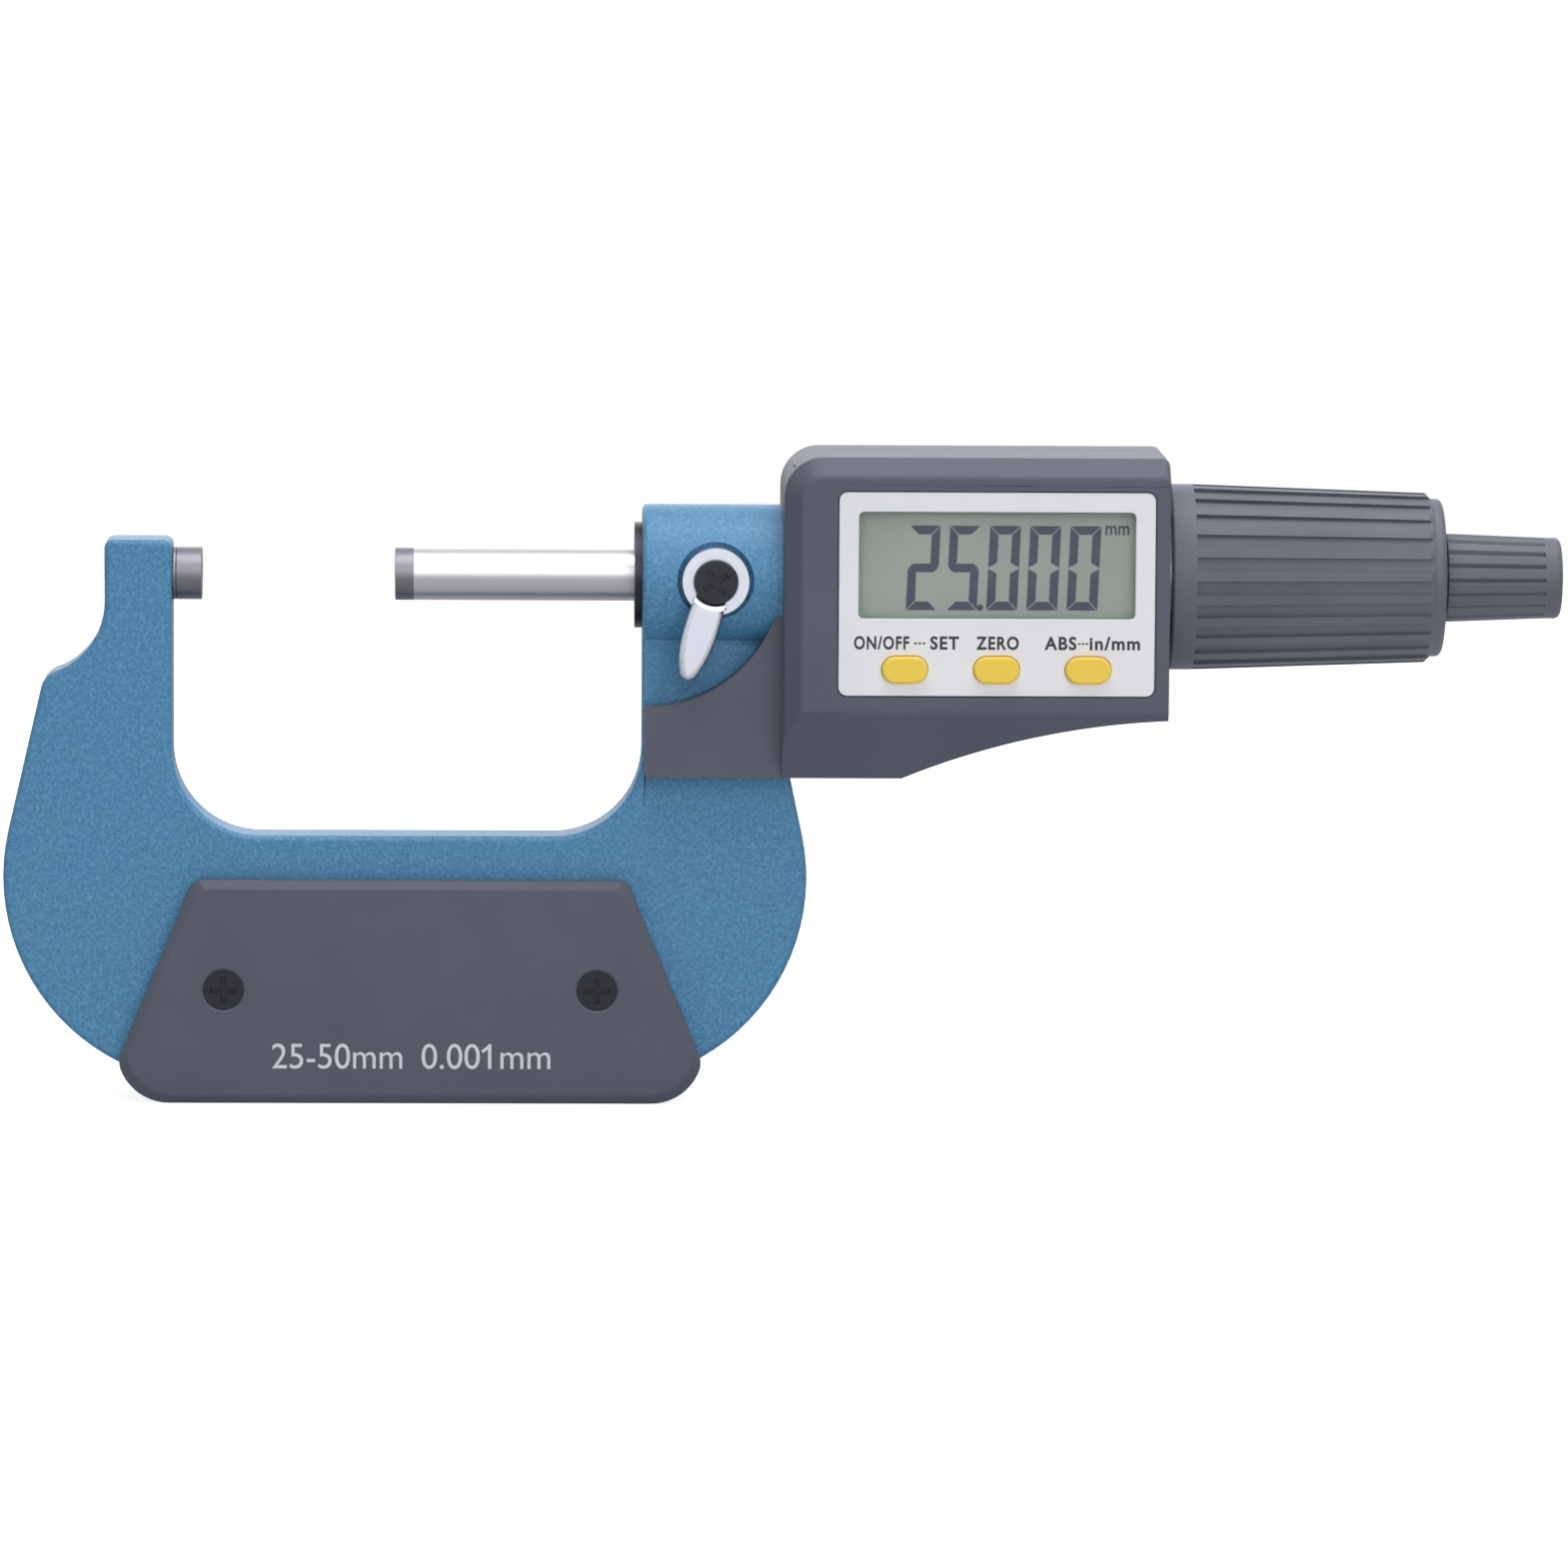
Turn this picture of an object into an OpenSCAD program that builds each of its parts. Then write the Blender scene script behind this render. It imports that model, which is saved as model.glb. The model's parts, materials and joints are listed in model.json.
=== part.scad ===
// Digital outside micrometer, 25-50 mm.
// X runs along the measuring axis towards the thimble, Z is up and -Y is the display side.
// The origin is the middle of the anvil's measuring face. At rest the instrument reads its
// smallest size.

/* [Measuring] */
// Smallest reading: the gap between the measuring faces at rest
range_start = 25; // [5:1:75]
// Travel of the spindle
travel = 25; // [12:1:26]
// Space between the open spindle face and the throat wall
park_gap = 7; // [5:0.5:12]
// Radius of the anvil and of the spindle
spindle_r = 3.4; // [3:0.05:3.6]
// Length of the carbide on the anvil
anvil_tip_len = 3.3; // [1:0.1:6]
// Steel neck of the anvil between its carbide and the arm
anvil_neck = 0.5; // [0.3:0.1:2]
// Length of the carbide on the spindle
spindle_tip_len = 2.4; // [1:0.1:6]

/* [Frame] */
// Thickness of the cast frame
frame_t = 8; // [6:0.5:9]
// Width of the arm that holds the anvil
arm_w = 8.7; // [7:0.1:12]
// Height of the arm above the axis
arm_top = 4.6; // [4:0.1:8]
// Depth of the throat below the axis
throat_depth = 33.8; // [30:0.1:60]
// Corner radius of the throat
throat_r = 11.4; // [4:0.1:16]
// Corner radius at the top of the arm
arm_r = 1.1; // [0.5:0.1:2]
// Radius of the hollow neck under the arm
neck_r = 9.7; // [6:0.1:12]
// Radius of the shoulder under the neck
shoulder_r = 3; // [2:0.1:6]
// Radius of the two round sides of the bow
bow_r = 27.1; // [24:0.1:30]
// Depth of the bow's round sides below the throat's floor
bow_drop = 5.5; // [3:0.1:9]
// Lean of the straight side above the right round side
side_lean = 12; // [8:0.5:14]
// Radius of the boss that carries the spindle
boss_r = 9.2; // [8.4:0.1:10]

/* [Grip plates] */
// Half width of a grip plate at its top edge
plate_top_half = 28.1; // [20:0.1:30]
// Height of a grip plate
plate_h = 29.1; // [24:0.1:32]
// Thickness of a grip plate
plate_t = 2.5; // [2:0.1:4]
// Gap between the throat's floor and the grip plate
plate_drop = 5.6; // [3:0.1:9]
// Lean of the plate's slanted sides
plate_lean = 22.5; // [15:0.5:28]
// Height of the plate's widest place above its lower edge
plate_low = 5.5; // [4:0.1:7]
// Radius of the plate's lower corners
plate_r = 6.7; // [5.8:0.1:12]
// Width of the bevel round a grip plate
plate_rim = 1.1; // [0.5:0.1:2]
// Distance of the plate's screws from its middle
plate_screw_x = 24.2; // [12:0.1:25]
// Radius of the plate screws' heads
plate_screw_r = 2.65; // [2:0.05:3]

/* [Housing] */
// Length of the foot that clasps the frame, in front of the housing
foot_len = 18.1; // [16:0.1:24]
// Length of the display housing
housing_len = 49.6; // [48:0.1:60]
// Height of the housing above the axis
housing_top = 16.25; // [15:0.05:20]
// Depth of the housing's skirt below the axis
housing_bottom = 25.6; // [24:0.1:28]
// Distance of the front face from the axis
front_depth = 14; // [13.6:0.1:16]
// Distance of the rear face from the axis
rear_depth = 11; // [10.8:0.1:13]
// Wall of the housing
shell_wall = 1.8; // [1.4:0.1:2.2]
// Width of the bevel along the top and the left of the front face
bevel_w = 2.3; // [1:0.1:2.6]
// Depth of the same bevel
bevel_d = 2.5; // [1:0.1:3]
// Corner radius at the top left
housing_r = 5; // [3:0.1:6]
// Radius of the hollow curve under the housing
belly_r = 93.7; // [80:0.5:120]
// Radius of the hollow curve over the foot
foot_r = 17.7; // [14:0.1:17.9]

/* [Display] */
// Width of the bezel plate
bezel_w = 40.7; // [39:0.1:44]
// Height of the bezel plate
bezel_h = 26.3; // [26:0.1:28]
// Width of the display window
window_w = 35.6; // [30:0.1:37]
// Height of the display window
window_h = 13.8; // [11:0.1:14.5]
// Height of the window's middle above the axis
window_z = 2.55; // [2:0.05:3]
// Distance between two buttons
button_pitch = 11.8; // [10:0.1:13]
// Width of a button
button_w = 5.9; // [4.5:0.1:7]
// Height of a button
button_h = 3.4; // [2.5:0.1:3.8]
// Depth of the buttons' row below the axis
button_drop = 10.85; // [10.5:0.05:11]
// Travel of a button
button_travel = 0.5; // [0.3:0.05:0.5]

/* [Lock] */
// Distance of the lock lever's axis from the throat wall
lock_x = 9.4; // [8:0.1:10.5]
// Radius of the lock lever's ring
lock_r = 4.3; // [4:0.1:4.6]
// Length of the lock lever from its axis
lock_len = 13.25; // [11:0.1:15]
// Angle of the lever from straight down, towards the anvil
lock_angle = 16.7; // [-20:0.1:40]

/* [Thimble] */
// Gap between the housing and the thimble at rest
thimble_gap = 0.5; // [0.4:0.1:3]
// Radius of the thimble at its collar
thimble_r = 12.05; // [11.8:0.05:14]
// Radius of the thimble at its end
thimble_end_r = 11; // [10.9:0.05:12]
// Length of the plain collar
collar_len = 2.8; // [1:0.1:5]
// Number of grip pockets around the thimble
rib_count = 24; // [12:1:30]
// Radius of the sleeve inside the thimble
sleeve_r = 9; // [8.6:0.05:9.1]

/* [Ratchet] */
// Radius of the ratchet knob where it meets the thimble
knob_r = 5.75; // [5.3:0.01:6.5]
// Radius of the ratchet knob at its end
knob_end_r = 5.2; // [4.6:0.05:6]
// Length of the ratchet knob
knob_len = 14.9; // [14:0.1:20]
// Number of grooves around the knob
groove_count = 18; // [8:1:24]

/* [Battery] */
// Radius of the button cell
cell_r = 5.8; // [4.8:0.05:5.8]
// Thickness of the button cell
cell_t = 5.4; // [3:0.1:5.4]

/* [Hidden] */
$fn = 64;

// Clearances: a fixed fit, a running fit and a free space. Cutters overrun by eps
fit = 0.02;
run = 0.03;
loose = 0.1;
eps = 0.5;

// Places along the axis
half_t = frame_t / 2;
throat_x0 = -anvil_tip_len - anvil_neck;
throat_x1 = range_start + travel + park_gap;
throat_mid = (throat_x0 + throat_x1) / 2;
arm_x0 = throat_x0 - arm_w;
housing_x0 = throat_x1 + foot_len;
boss_reach = 2.9;
boss_x1 = housing_x0 + boss_reach;
housing_x1 = housing_x0 + housing_len;

// Bow
bow_z = -throat_depth - bow_drop;
bow_inset = 5.4;
bow_left = [throat_x0 + bow_inset - 0.2, bow_z];
bow_right = [throat_x1 - bow_inset - 0.2, bow_z];
neck = [arm_x0 - neck_r, -3.4];
shoulder_x = arm_x0 - 5.3;
shoulder = [shoulder_x, neck[1] - sqrt(pow(neck_r + shoulder_r, 2) - pow(shoulder_x - neck[0], 2))];
neck_angle = atan2(shoulder[1] - neck[1], shoulder[0] - neck[0]);
flank = bow_left - shoulder;
flank_angle = atan2(flank[1], flank[0]) - acos((shoulder_r - bow_r) / norm(flank)) + 360;
side_foot = bow_right + bow_r * [cos(side_lean), sin(side_lean)];

// Grip plates
plate_mid = throat_mid + 0.5;
plate_top = -throat_depth - plate_drop;
plate_bottom = plate_top - plate_h;
plate_y = half_t + plate_t;
plate_screw_z = (plate_top + plate_bottom) / 2 + 0.3;
plate_low_half = plate_top_half + (plate_h - plate_low) * tan(plate_lean);
plate_corner_x = plate_low_half - sqrt(pow(plate_r, 2) - pow(plate_r - plate_low, 2));
plate_turn = asin((plate_r - plate_low) / plate_r);

// Screws: a tapping core, its hole and a small head
screw_r = 1;
small_head_r = 1.9;

// Bush, lock and anvil
bush_r = 5;
bush_flange_r = 6.87;
bush_flange_t = 1;
bush_bore_r = spindle_r + run;
anvil_shank_r = spindle_r - 0.4;
anvil_shank = arm_w - 1.6;
lock_axis = throat_x1 + lock_x;
lock_well_r = lock_r + 0.67;
lock_floor = -boss_r + 2.4;
lock_hub_y = lock_floor - loose;
lock_top = -boss_r - 1.2;
lever_back = -boss_r - 0.2;
lever_front = lever_back - 2;
lock_head_r = 2.8;
lock_seat = lock_top + 0.6;
stem_r = 2.5;
shoe_y = -spindle_r - 0.06;
shoe_t = 0.8;

// Housing
hole_r = screw_r + fit;
face_y = -front_depth;
parting = 2.5;
gasket_t = 0.12;
rear_y0 = parting + gasket_t;
bend_z = -16.5;
bottom_z = -housing_bottom;
skirt_set = 5.8;
belly_end = bend_z - 1;
belly_c = [housing_x1 + 4.16, belly_end - sqrt(pow(belly_r, 2) - pow(4.16, 2))];
cavity_x0 = housing_x0 + shell_wall;
cavity_x1 = housing_x1 - shell_wall;
cavity_top = housing_top - shell_wall;
cavity_floor = bend_z + 1.9;
recess = 1;
recess_y = face_y + recess;
wall_y = recess_y + 1;
foot_x0 = throat_x1 + 0.4;
foot_c = [foot_x0, 1.2];
foot_y = half_t * 2;
rear_inner = rear_depth - shell_wall;
block_x = 4.5;
cover_points = [[housing_x0 + 4.1, cavity_top - 2.25], [housing_x1 - 4.1, cavity_top - 2.25],
    [housing_x0 + 8.9, bottom_z + 6.1]];
foot_points = [[foot_x0 + 4.4, bottom_z + 4.4], [foot_x0 + 13.4, bottom_z + 5.4]];

// Display stack, from the front to the back
bezel_t = 0.9;
bezel_mid = housing_x1 - bezel_w / 2 - 1.9;
bezel_z = -1.15;
lens_edge = 0.6;
lcd_y = wall_y + loose;
lcd_t = 2;
strip_t = 0.7;
board_y = lcd_y + lcd_t + strip_t;
board_t = 1;
board_back = board_y + board_t;
board_x0 = boss_x1 + 0.4;
board_x1 = cavity_x1 - 0.9;
board_top = cavity_top - 0.95;
board_bottom = cavity_floor + 0.3;
button_z = -button_drop;
button_top = face_y - 0.9;
flange_t = 0.7;
button_end = board_y - 0.8 - button_travel;
dome_t = 0.3;
membrane_t = 0.35;

// Chassis, encoder and sleeve
chassis_wall = 4;
chassis_x1 = housing_x1 - 6.7;
chassis_end = 4;
chassis_floor = cavity_floor + 0.6;
chassis_top = 9;
chassis_screw_r = (bush_r + boss_r) / 2;
chassis_angles = [32, 148, 212, 328];
rotor_x0 = boss_x1 + chassis_wall + 0.2;
hub_r = 5.5;
hub_len = 9.2;
disc_r = 7.6;
disc_t = 1;
disc_x1 = rotor_x0 + hub_len + disc_t;
stator_x0 = disc_x1 + 0.6;
stator_t = 1.2;
key_w = 1.4;
key_len = 6;
key_x0 = rotor_x0 + 1.3;
keyway_depth = 1;
keyway_x0 = key_x0 + key_len - 6.3 - travel;
shank_r = 7;
sleeve_x0 = chassis_x1 - 5;
sleeve_step = cavity_x1 - 0.4;
thimble_x0 = housing_x1 + thimble_gap;
sleeve_x1 = thimble_x0 + travel + 2.8;
thread_r = spindle_r + 0.35;
sleeve_bore = thread_r + 0.45;
nut_r = 6.5;
nut_x0 = sleeve_x1 - 10;
nut_x1 = sleeve_x1 + 2.6;
thread_x0 = nut_x0 - travel - 1;
thread_x1 = nut_x1 + 1;
stub_r = spindle_r - 0.5;

// Thimble and ratchet
core_r = sleeve_r + 0.9;
core_wall = 0.55;
core_x1 = thread_x1 + 2.6;
rib_x0 = thimble_x0 + collar_len;
rib_x1 = core_x1 + 0.2;
thimble_x1 = core_x1 + 1.6;
pocket_depth = 0.5;
pocket_angle = 360 / rib_count;
pocket_turn = 2.2;
pocket_w = 1.13 * thimble_r * PI / rib_count;
rib_slope = atan((thimble_r - thimble_end_r) / (rib_x1 - thimble_x0));
shaft_r = 1.75;
shaft_flange_r = stub_r + 0.7;
driver_x0 = thimble_x1 + 1;
driver_t = 1.5;
driver_r = 4.2;
knob_x0 = thimble_x1 + 0.6;
knob_x1 = knob_x0 + knob_len;
knob_bore = driver_r + loose;
knob_web0 = knob_x1 - 6.8;
knob_web1 = knob_x1 - 3.8;
pawl_x0 = driver_x0 + driver_t + 0.2;
pawl_t = 2;
knob_slope = atan((knob_r - knob_end_r) / knob_len);

// Battery
cell = [housing_x0 + 28.9, -8];
cell_back = rear_depth - 0.9;
cell_y = cell_back - cell_t;
cup_bore = cell_r + 0.3;
cup_r = cell_r + 2.6;
cup_floor = cell_y - 0.3;
cap_r = cell_r + 1.2;
seal_y = rear_depth - 2.4;

// Points along an arc, a quadratic curve and two rounded outlines
function arc(c, r, a0, a1, n) =
    [for (i = [0:n]) c + r * [cos(a0 + (a1 - a0) * i / n), sin(a0 + (a1 - a0) * i / n)]];
function curve(a, b, c, n) =
    [for (i = [0:n]) let (t = i / n) (1 - t) * (1 - t) * a + 2 * t * (1 - t) * b + t * t * c];
function round_rect(mid, w, h, r) = concat(
    arc(mid + [w / 2 - r, h / 2 - r], r, 0, 90, 5),
    arc(mid + [r - w / 2, h / 2 - r], r, 90, 180, 5),
    arc(mid + [r - w / 2, r - h / 2], r, 180, 270, 5),
    arc(mid + [w / 2 - r, r - h / 2], r, 270, 360, 5));
function obround(mid, w, h) = concat(
    arc(mid + [(w - h) / 2, 0], h / 2, -90, 90, 12),
    arc(mid - [(w - h) / 2, 0], h / 2, 90, 270, 12));

// The frame's outline, from the right throat wall round to the right side
function frame_outline() = concat(
    [[throat_x1, 0]],
    arc([throat_x1 - throat_r, throat_r - throat_depth], throat_r, 0, -90, 16),
    arc([throat_x0 + throat_r, throat_r - throat_depth], throat_r, -90, -180, 16),
    arc([throat_x0 - arm_r, arm_top - arm_r], arm_r, 0, 90, 5),
    arc([arm_x0 + arm_r, arm_top - arm_r], arm_r, 90, 180, 5),
    arc(neck, neck_r, 0, neck_angle, 12),
    arc(shoulder, shoulder_r, neck_angle + 180, flank_angle, 10),
    arc(bow_left, bow_r, flank_angle, 270, 24),
    arc(bow_right, bow_r, 270, 360 + side_lean, 24),
    [[side_foot[0] - (-6 - side_foot[1]) * tan(side_lean), -6], [lock_axis, 0]]);

// A grip plate's round corner and one side, both from its middle, and the whole outline
function plate_corner(a) = [plate_corner_x, plate_r - plate_h] + plate_r * [cos(a), sin(a)];
function plate_half() = concat(
    [[plate_top_half - 0.7, 0]],
    [[plate_top_half + 0.35, -0.8]],
    curve([plate_low_half - 0.8 * tan(plate_lean), plate_low - plate_h + 0.8],
        [plate_low_half, plate_low - plate_h], plate_corner(-plate_turn - 9), 3),
    [for (i = [1:10]) plate_corner(-plate_turn - 9 - (81 - plate_turn) * i / 10)]);
function plate_outline() = let (side = plate_half()) concat(
    [for (p = side) [plate_mid + p[0], plate_top + p[1]]],
    [for (i = [len(side) - 1:-1:0]) [plate_mid - side[i][0], plate_top + side[i][1]]]);

// The housing's outline above the bend, set in at the top and the left, and below the bend
function upper_outline(inset, low) = concat(
    [[housing_x1, low]],
    arc([housing_x1 - 1, housing_top - inset - 1], 1, 0, 90, 5),
    arc([housing_x0 + housing_r, housing_top - housing_r], housing_r - inset, 90, 180, 10),
    [[housing_x0 + inset, low]]);
function belly_angle(z, r) = 180 - asin((z - belly_c[1]) / r);
function belly(z, x, r) =
    arc(belly_c, r, belly_angle(z, r), acos((x - belly_c[0]) / r), 18);
function lower_outline() = concat(
    [[housing_x1, bend_z], [housing_x0, bend_z], [housing_x0, bottom_z]],
    belly(bottom_z, housing_x1, belly_r));
function belly_pocket() = concat(
    [[cavity_x1, cavity_floor + 1], [cavity_x0 + 2, cavity_floor + 1],
     [cavity_x0 + 2, bottom_z + shell_wall]],
    belly(bottom_z + shell_wall, cavity_x1, belly_r + shell_wall));
function foot_outline() = concat(
    [[cavity_x0 - 0.2, bottom_z], [foot_x0, bottom_z]],
    arc(foot_c, foot_r, -90, -20, 18),
    [[cavity_x0 - 0.2, foot_c[1] - foot_r * sin(20) + 1]]);

// The lock lever's blade, pointing down from its axis
function blade() = concat(
    curve([2, -2], [2.75, -9 * lock_len / 13.25], [1, 0.65 - lock_len], 8),
    curve([1, 0.65 - lock_len], [0, -lock_len - 0.65], [-1, 0.65 - lock_len], 6),
    curve([-1, 0.65 - lock_len], [-2.75, -9 * lock_len / 13.25], [-2, -2], 8));

// Solids that lie across the instrument, along the axis and square to it
module slab(y0, y1) {
    translate([0, y1, 0]) rotate([90, 0, 0]) linear_extrude(y1 - y0) children();
}

module along_x(x0, x1) {
    translate([x0, 0, 0]) rotate([90, 0, 90]) linear_extrude(x1 - x0) children();
}

module bar(x0, x1, r) {
    translate([x0, 0, 0]) rotate([0, 90, 0]) cylinder(h = x1 - x0, r = r);
}

module ring_x(x0, x1, r, bore) {
    difference() {
        bar(x0, x1, r);
        bar(x0 - eps, x1 + eps, bore);
    }
}

module post(at, y0, y1, r) {
    translate([at[0], y0, at[1]]) rotate([-90, 0, 0]) cylinder(h = y1 - y0, r = r);
}

module box(x, y, z) {
    translate([x[0], y[0], z[0]]) cube([x[1] - x[0], y[1] - y[0], z[1] - z[0]]);
}

// A cross recess for a screw head whose top lies at y
module cross(at, y, size) {
    for (a = [0, 90])
        translate([at[0], y, at[1]]) rotate([0, a, 0])
            cube([size * 1.3, 1.6, size * 0.28], center = true);
}

// A countersunk screw pointing into the instrument from the side given by its sign
module plate_screw(at, side) {
    scale([1, side, 1]) difference() {
        union() {
            translate([at[0], plate_y - 0.15, at[1]]) rotate([90, 0, 0])
                cylinder(h = 1.3, r1 = plate_screw_r, r2 = screw_r + 0.2);
            post(at, 0.3, plate_y - 1, screw_r);
        }
        cross(at, plate_y - 0.15, plate_screw_r);
    }
}

// A plate with a bevel all round, its outline drawn in towards its middle at the face
module grip_plate(side) {
    middle = (plate_top + plate_bottom) / 2;
    shrink = [1 - plate_rim / plate_low_half, 1 - 2 * plate_rim / plate_h];
    scale([1, side, 1]) difference() {
        hull() {
            slab(half_t, plate_y - 0.6 * plate_rim) polygon(plate_outline());
            slab(half_t, plate_y) polygon([for (p = plate_outline())
                [plate_mid + (p[0] - plate_mid) * shrink[0], middle + (p[1] - middle) * shrink[1]]]);
        }
        for (m = [-1, 1]) {
            at = [plate_mid + m * plate_screw_x, plate_screw_z];
            post(at, half_t - eps, plate_y, screw_r + 0.1);
            translate([at[0], plate_y, at[1]]) rotate([90, 0, 0])
                cylinder(h = 1.6, r1 = plate_screw_r + 0.2, r2 = screw_r + 0.1);
        }
    }
}

module frame() {
    color([0.33, 0.51, 0.65]) difference() {
        union() {
            slab(-half_t, half_t) polygon(frame_outline());
            bar(throat_x1, boss_x1, boss_r);
        }
        bar(throat_x1 - eps, boss_x1 + eps, bush_r);
        bar(throat_x0 - anvil_shank, throat_x0 + eps, anvil_shank_r + fit);
        post([lock_axis, 0], -boss_r - eps, lock_floor, lock_well_r);
        post([lock_axis, 0], lock_floor - eps, 0, stem_r + run);
        for (m = [-1, 1])
            post([plate_mid + m * plate_screw_x, plate_screw_z], -frame_t, frame_t, screw_r + 0.05);
        for (p = foot_points) post(p, -frame_t, frame_t, screw_r + loose);
        for (a = chassis_angles)
            translate([0, chassis_screw_r * cos(a), chassis_screw_r * sin(a)])
                bar(boss_x1 - 5.2, boss_x1 + eps, screw_r + 0.05);
    }
}

module anvil() {
    color([0.6, 0.6, 0.62]) union() {
        bar(throat_x0 - anvil_shank + 0.1, throat_x0, anvil_shank_r);
        bar(throat_x0, -anvil_tip_len, spindle_r);
    }
}

module anvil_tip() {
    color([0.48, 0.48, 0.5]) bar(-anvil_tip_len, 0, spindle_r);
}

module front_grip_plate() {
    color([0.34, 0.36, 0.41]) grip_plate(-1);
}

module rear_grip_plate() {
    color([0.34, 0.36, 0.41]) grip_plate(1);
}

module front_plate_screws() {
    color([0.12, 0.12, 0.13])
        for (m = [-1, 1]) plate_screw([plate_mid + m * plate_screw_x, plate_screw_z], -1);
}

module rear_plate_screws() {
    color([0.12, 0.12, 0.13])
        for (m = [-1, 1]) plate_screw([plate_mid + m * plate_screw_x, plate_screw_z], 1);
}

module spindle_bush() {
    color([0.2, 0.2, 0.22]) difference() {
        union() {
            bar(throat_x1 - bush_flange_t, throat_x1, bush_flange_r);
            bar(throat_x1, boss_x1 - 1, bush_r - fit);
        }
        bar(throat_x1 - 2, boss_x1, bush_bore_r);
        post([lock_axis, 0], -bush_r - 1, 0, stem_r + run);
    }
}

module lock_shoe() {
    color([0.75, 0.6, 0.3]) post([lock_axis, 0], shoe_y - shoe_t, shoe_y, stem_r - 0.1);
}

module encoder_chassis() {
    color([0.75, 0.75, 0.77]) difference() {
        union() {
            box([boss_x1, boss_x1 + chassis_wall], [board_back, 8], [chassis_floor, chassis_top]);
            box([boss_x1, chassis_x1], [board_back, 3], [chassis_floor, chassis_floor + 3]);
            box([chassis_x1 - chassis_end, chassis_x1], [board_back, 8.4],
                [chassis_floor, chassis_top]);
        }
        bar(boss_x1 - eps, boss_x1 + chassis_wall + eps, spindle_r + 0.8);
        bar(chassis_x1 - chassis_end - eps, chassis_x1 + eps, shank_r + fit);
        for (a = chassis_angles)
            translate([0, chassis_screw_r * cos(a), chassis_screw_r * sin(a)]) {
                bar(boss_x1 - eps, boss_x1 + chassis_wall, screw_r + 0.05);
                bar(boss_x1 + chassis_wall - 1.2, boss_x1 + chassis_wall + eps, small_head_r + fit);
            }
        for (p = board_points()) post(p, board_back - eps, board_back + 2.6, hole_r);
    }
}

module chassis_screws() {
    color([0.55, 0.55, 0.57]) for (a = chassis_angles)
        translate([0, chassis_screw_r * cos(a), chassis_screw_r * sin(a)]) {
            bar(boss_x1 - 5, boss_x1 + chassis_wall - 1.2, screw_r);
            bar(boss_x1 + chassis_wall - 1.2, boss_x1 + chassis_wall - 0.1, small_head_r);
        }
}

module encoder_stator() {
    color([0.1, 0.35, 0.2]) difference() {
        box([stator_x0, stator_x0 + stator_t], [-disc_r, disc_r], [chassis_floor + 3, disc_r + 0.6]);
        bar(stator_x0 - eps, stator_x0 + stator_t + eps, spindle_r + 0.8);
    }
}

module stem_sleeve() {
    color([0.72, 0.72, 0.74]) difference() {
        union() {
            bar(sleeve_x0, sleeve_step, shank_r);
            bar(sleeve_step, sleeve_x1, sleeve_r);
        }
        bar(sleeve_x0 - eps, sleeve_x1 + eps, sleeve_bore);
        bar(nut_x0, sleeve_x1 + eps, nut_r);
    }
}

module lead_nut() {
    color([0.6, 0.58, 0.5]) difference() {
        bar(nut_x0, nut_x1, nut_r - fit);
        bar(nut_x0 - eps, nut_x1 + eps, thread_r + run);
        box([sleeve_x1 - 6, nut_x1 + eps], [-nut_r - 1, nut_r + 1], [-0.3, 0.3]);
    }
}

module adjusting_nut() {
    color([0.55, 0.55, 0.57]) difference() {
        ring_x(sleeve_x1 + 0.15, nut_x1, sleeve_r - 0.6, nut_r);
        for (a = [0, 90]) rotate([a, 0, 0])
            box([nut_x1 - 1, nut_x1 + eps], [nut_r + 0.8, sleeve_r], [-0.8, 0.8]);
    }
}

// The housing's outer form from y0 to y1, with the face at y1 bevelled; side mirrors it
module shell_form(y0, y1, wide, deep, fall) {
    difference() {
        union() {
            hull() {
                slab(y0, y1 - deep) polygon(upper_outline(0, bend_z));
                slab(y0, y1) polygon(upper_outline(wide, bend_z));
            }
            slab(y0, y1) polygon(lower_outline());
        }
        translate([0, 0, bottom_z - 1]) linear_extrude(bend_z - bottom_z + 1)
            polygon([[housing_x0 - 0.2 * wide, y1 - 1.2 * deep], [housing_x0 - 0.2 * wide, y1 + 0.2 * deep],
                [housing_x0 + 1.2 * wide, y1 + 0.2 * deep]]);
        along_x(housing_x0 - 1, housing_x1 + 1)
            polygon([[y1 + fall / 9, bend_z - (bottom_z - bend_z) / 9],
                [y1 + fall / 9, bottom_z + (bottom_z - bend_z) / 9],
                [y1 - fall * 10 / 9, bottom_z + (bottom_z - bend_z) / 9]]);
    }
}

// The space that the frame's side takes up inside the housing's left wall
module side_pocket() {
    reach = side_foot[0] + 0.15 - (housing_x0 - 1);
    slab(-half_t - 0.01, half_t + 0.01)
        polygon([[housing_x0 - 1, bottom_z - 1],
            [side_foot[0] + 0.15 - (bottom_z - 1 - side_foot[1]) * tan(side_lean), bottom_z - 1],
            [housing_x0 - 1, side_foot[1] + reach / tan(side_lean)]]);
}

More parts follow.
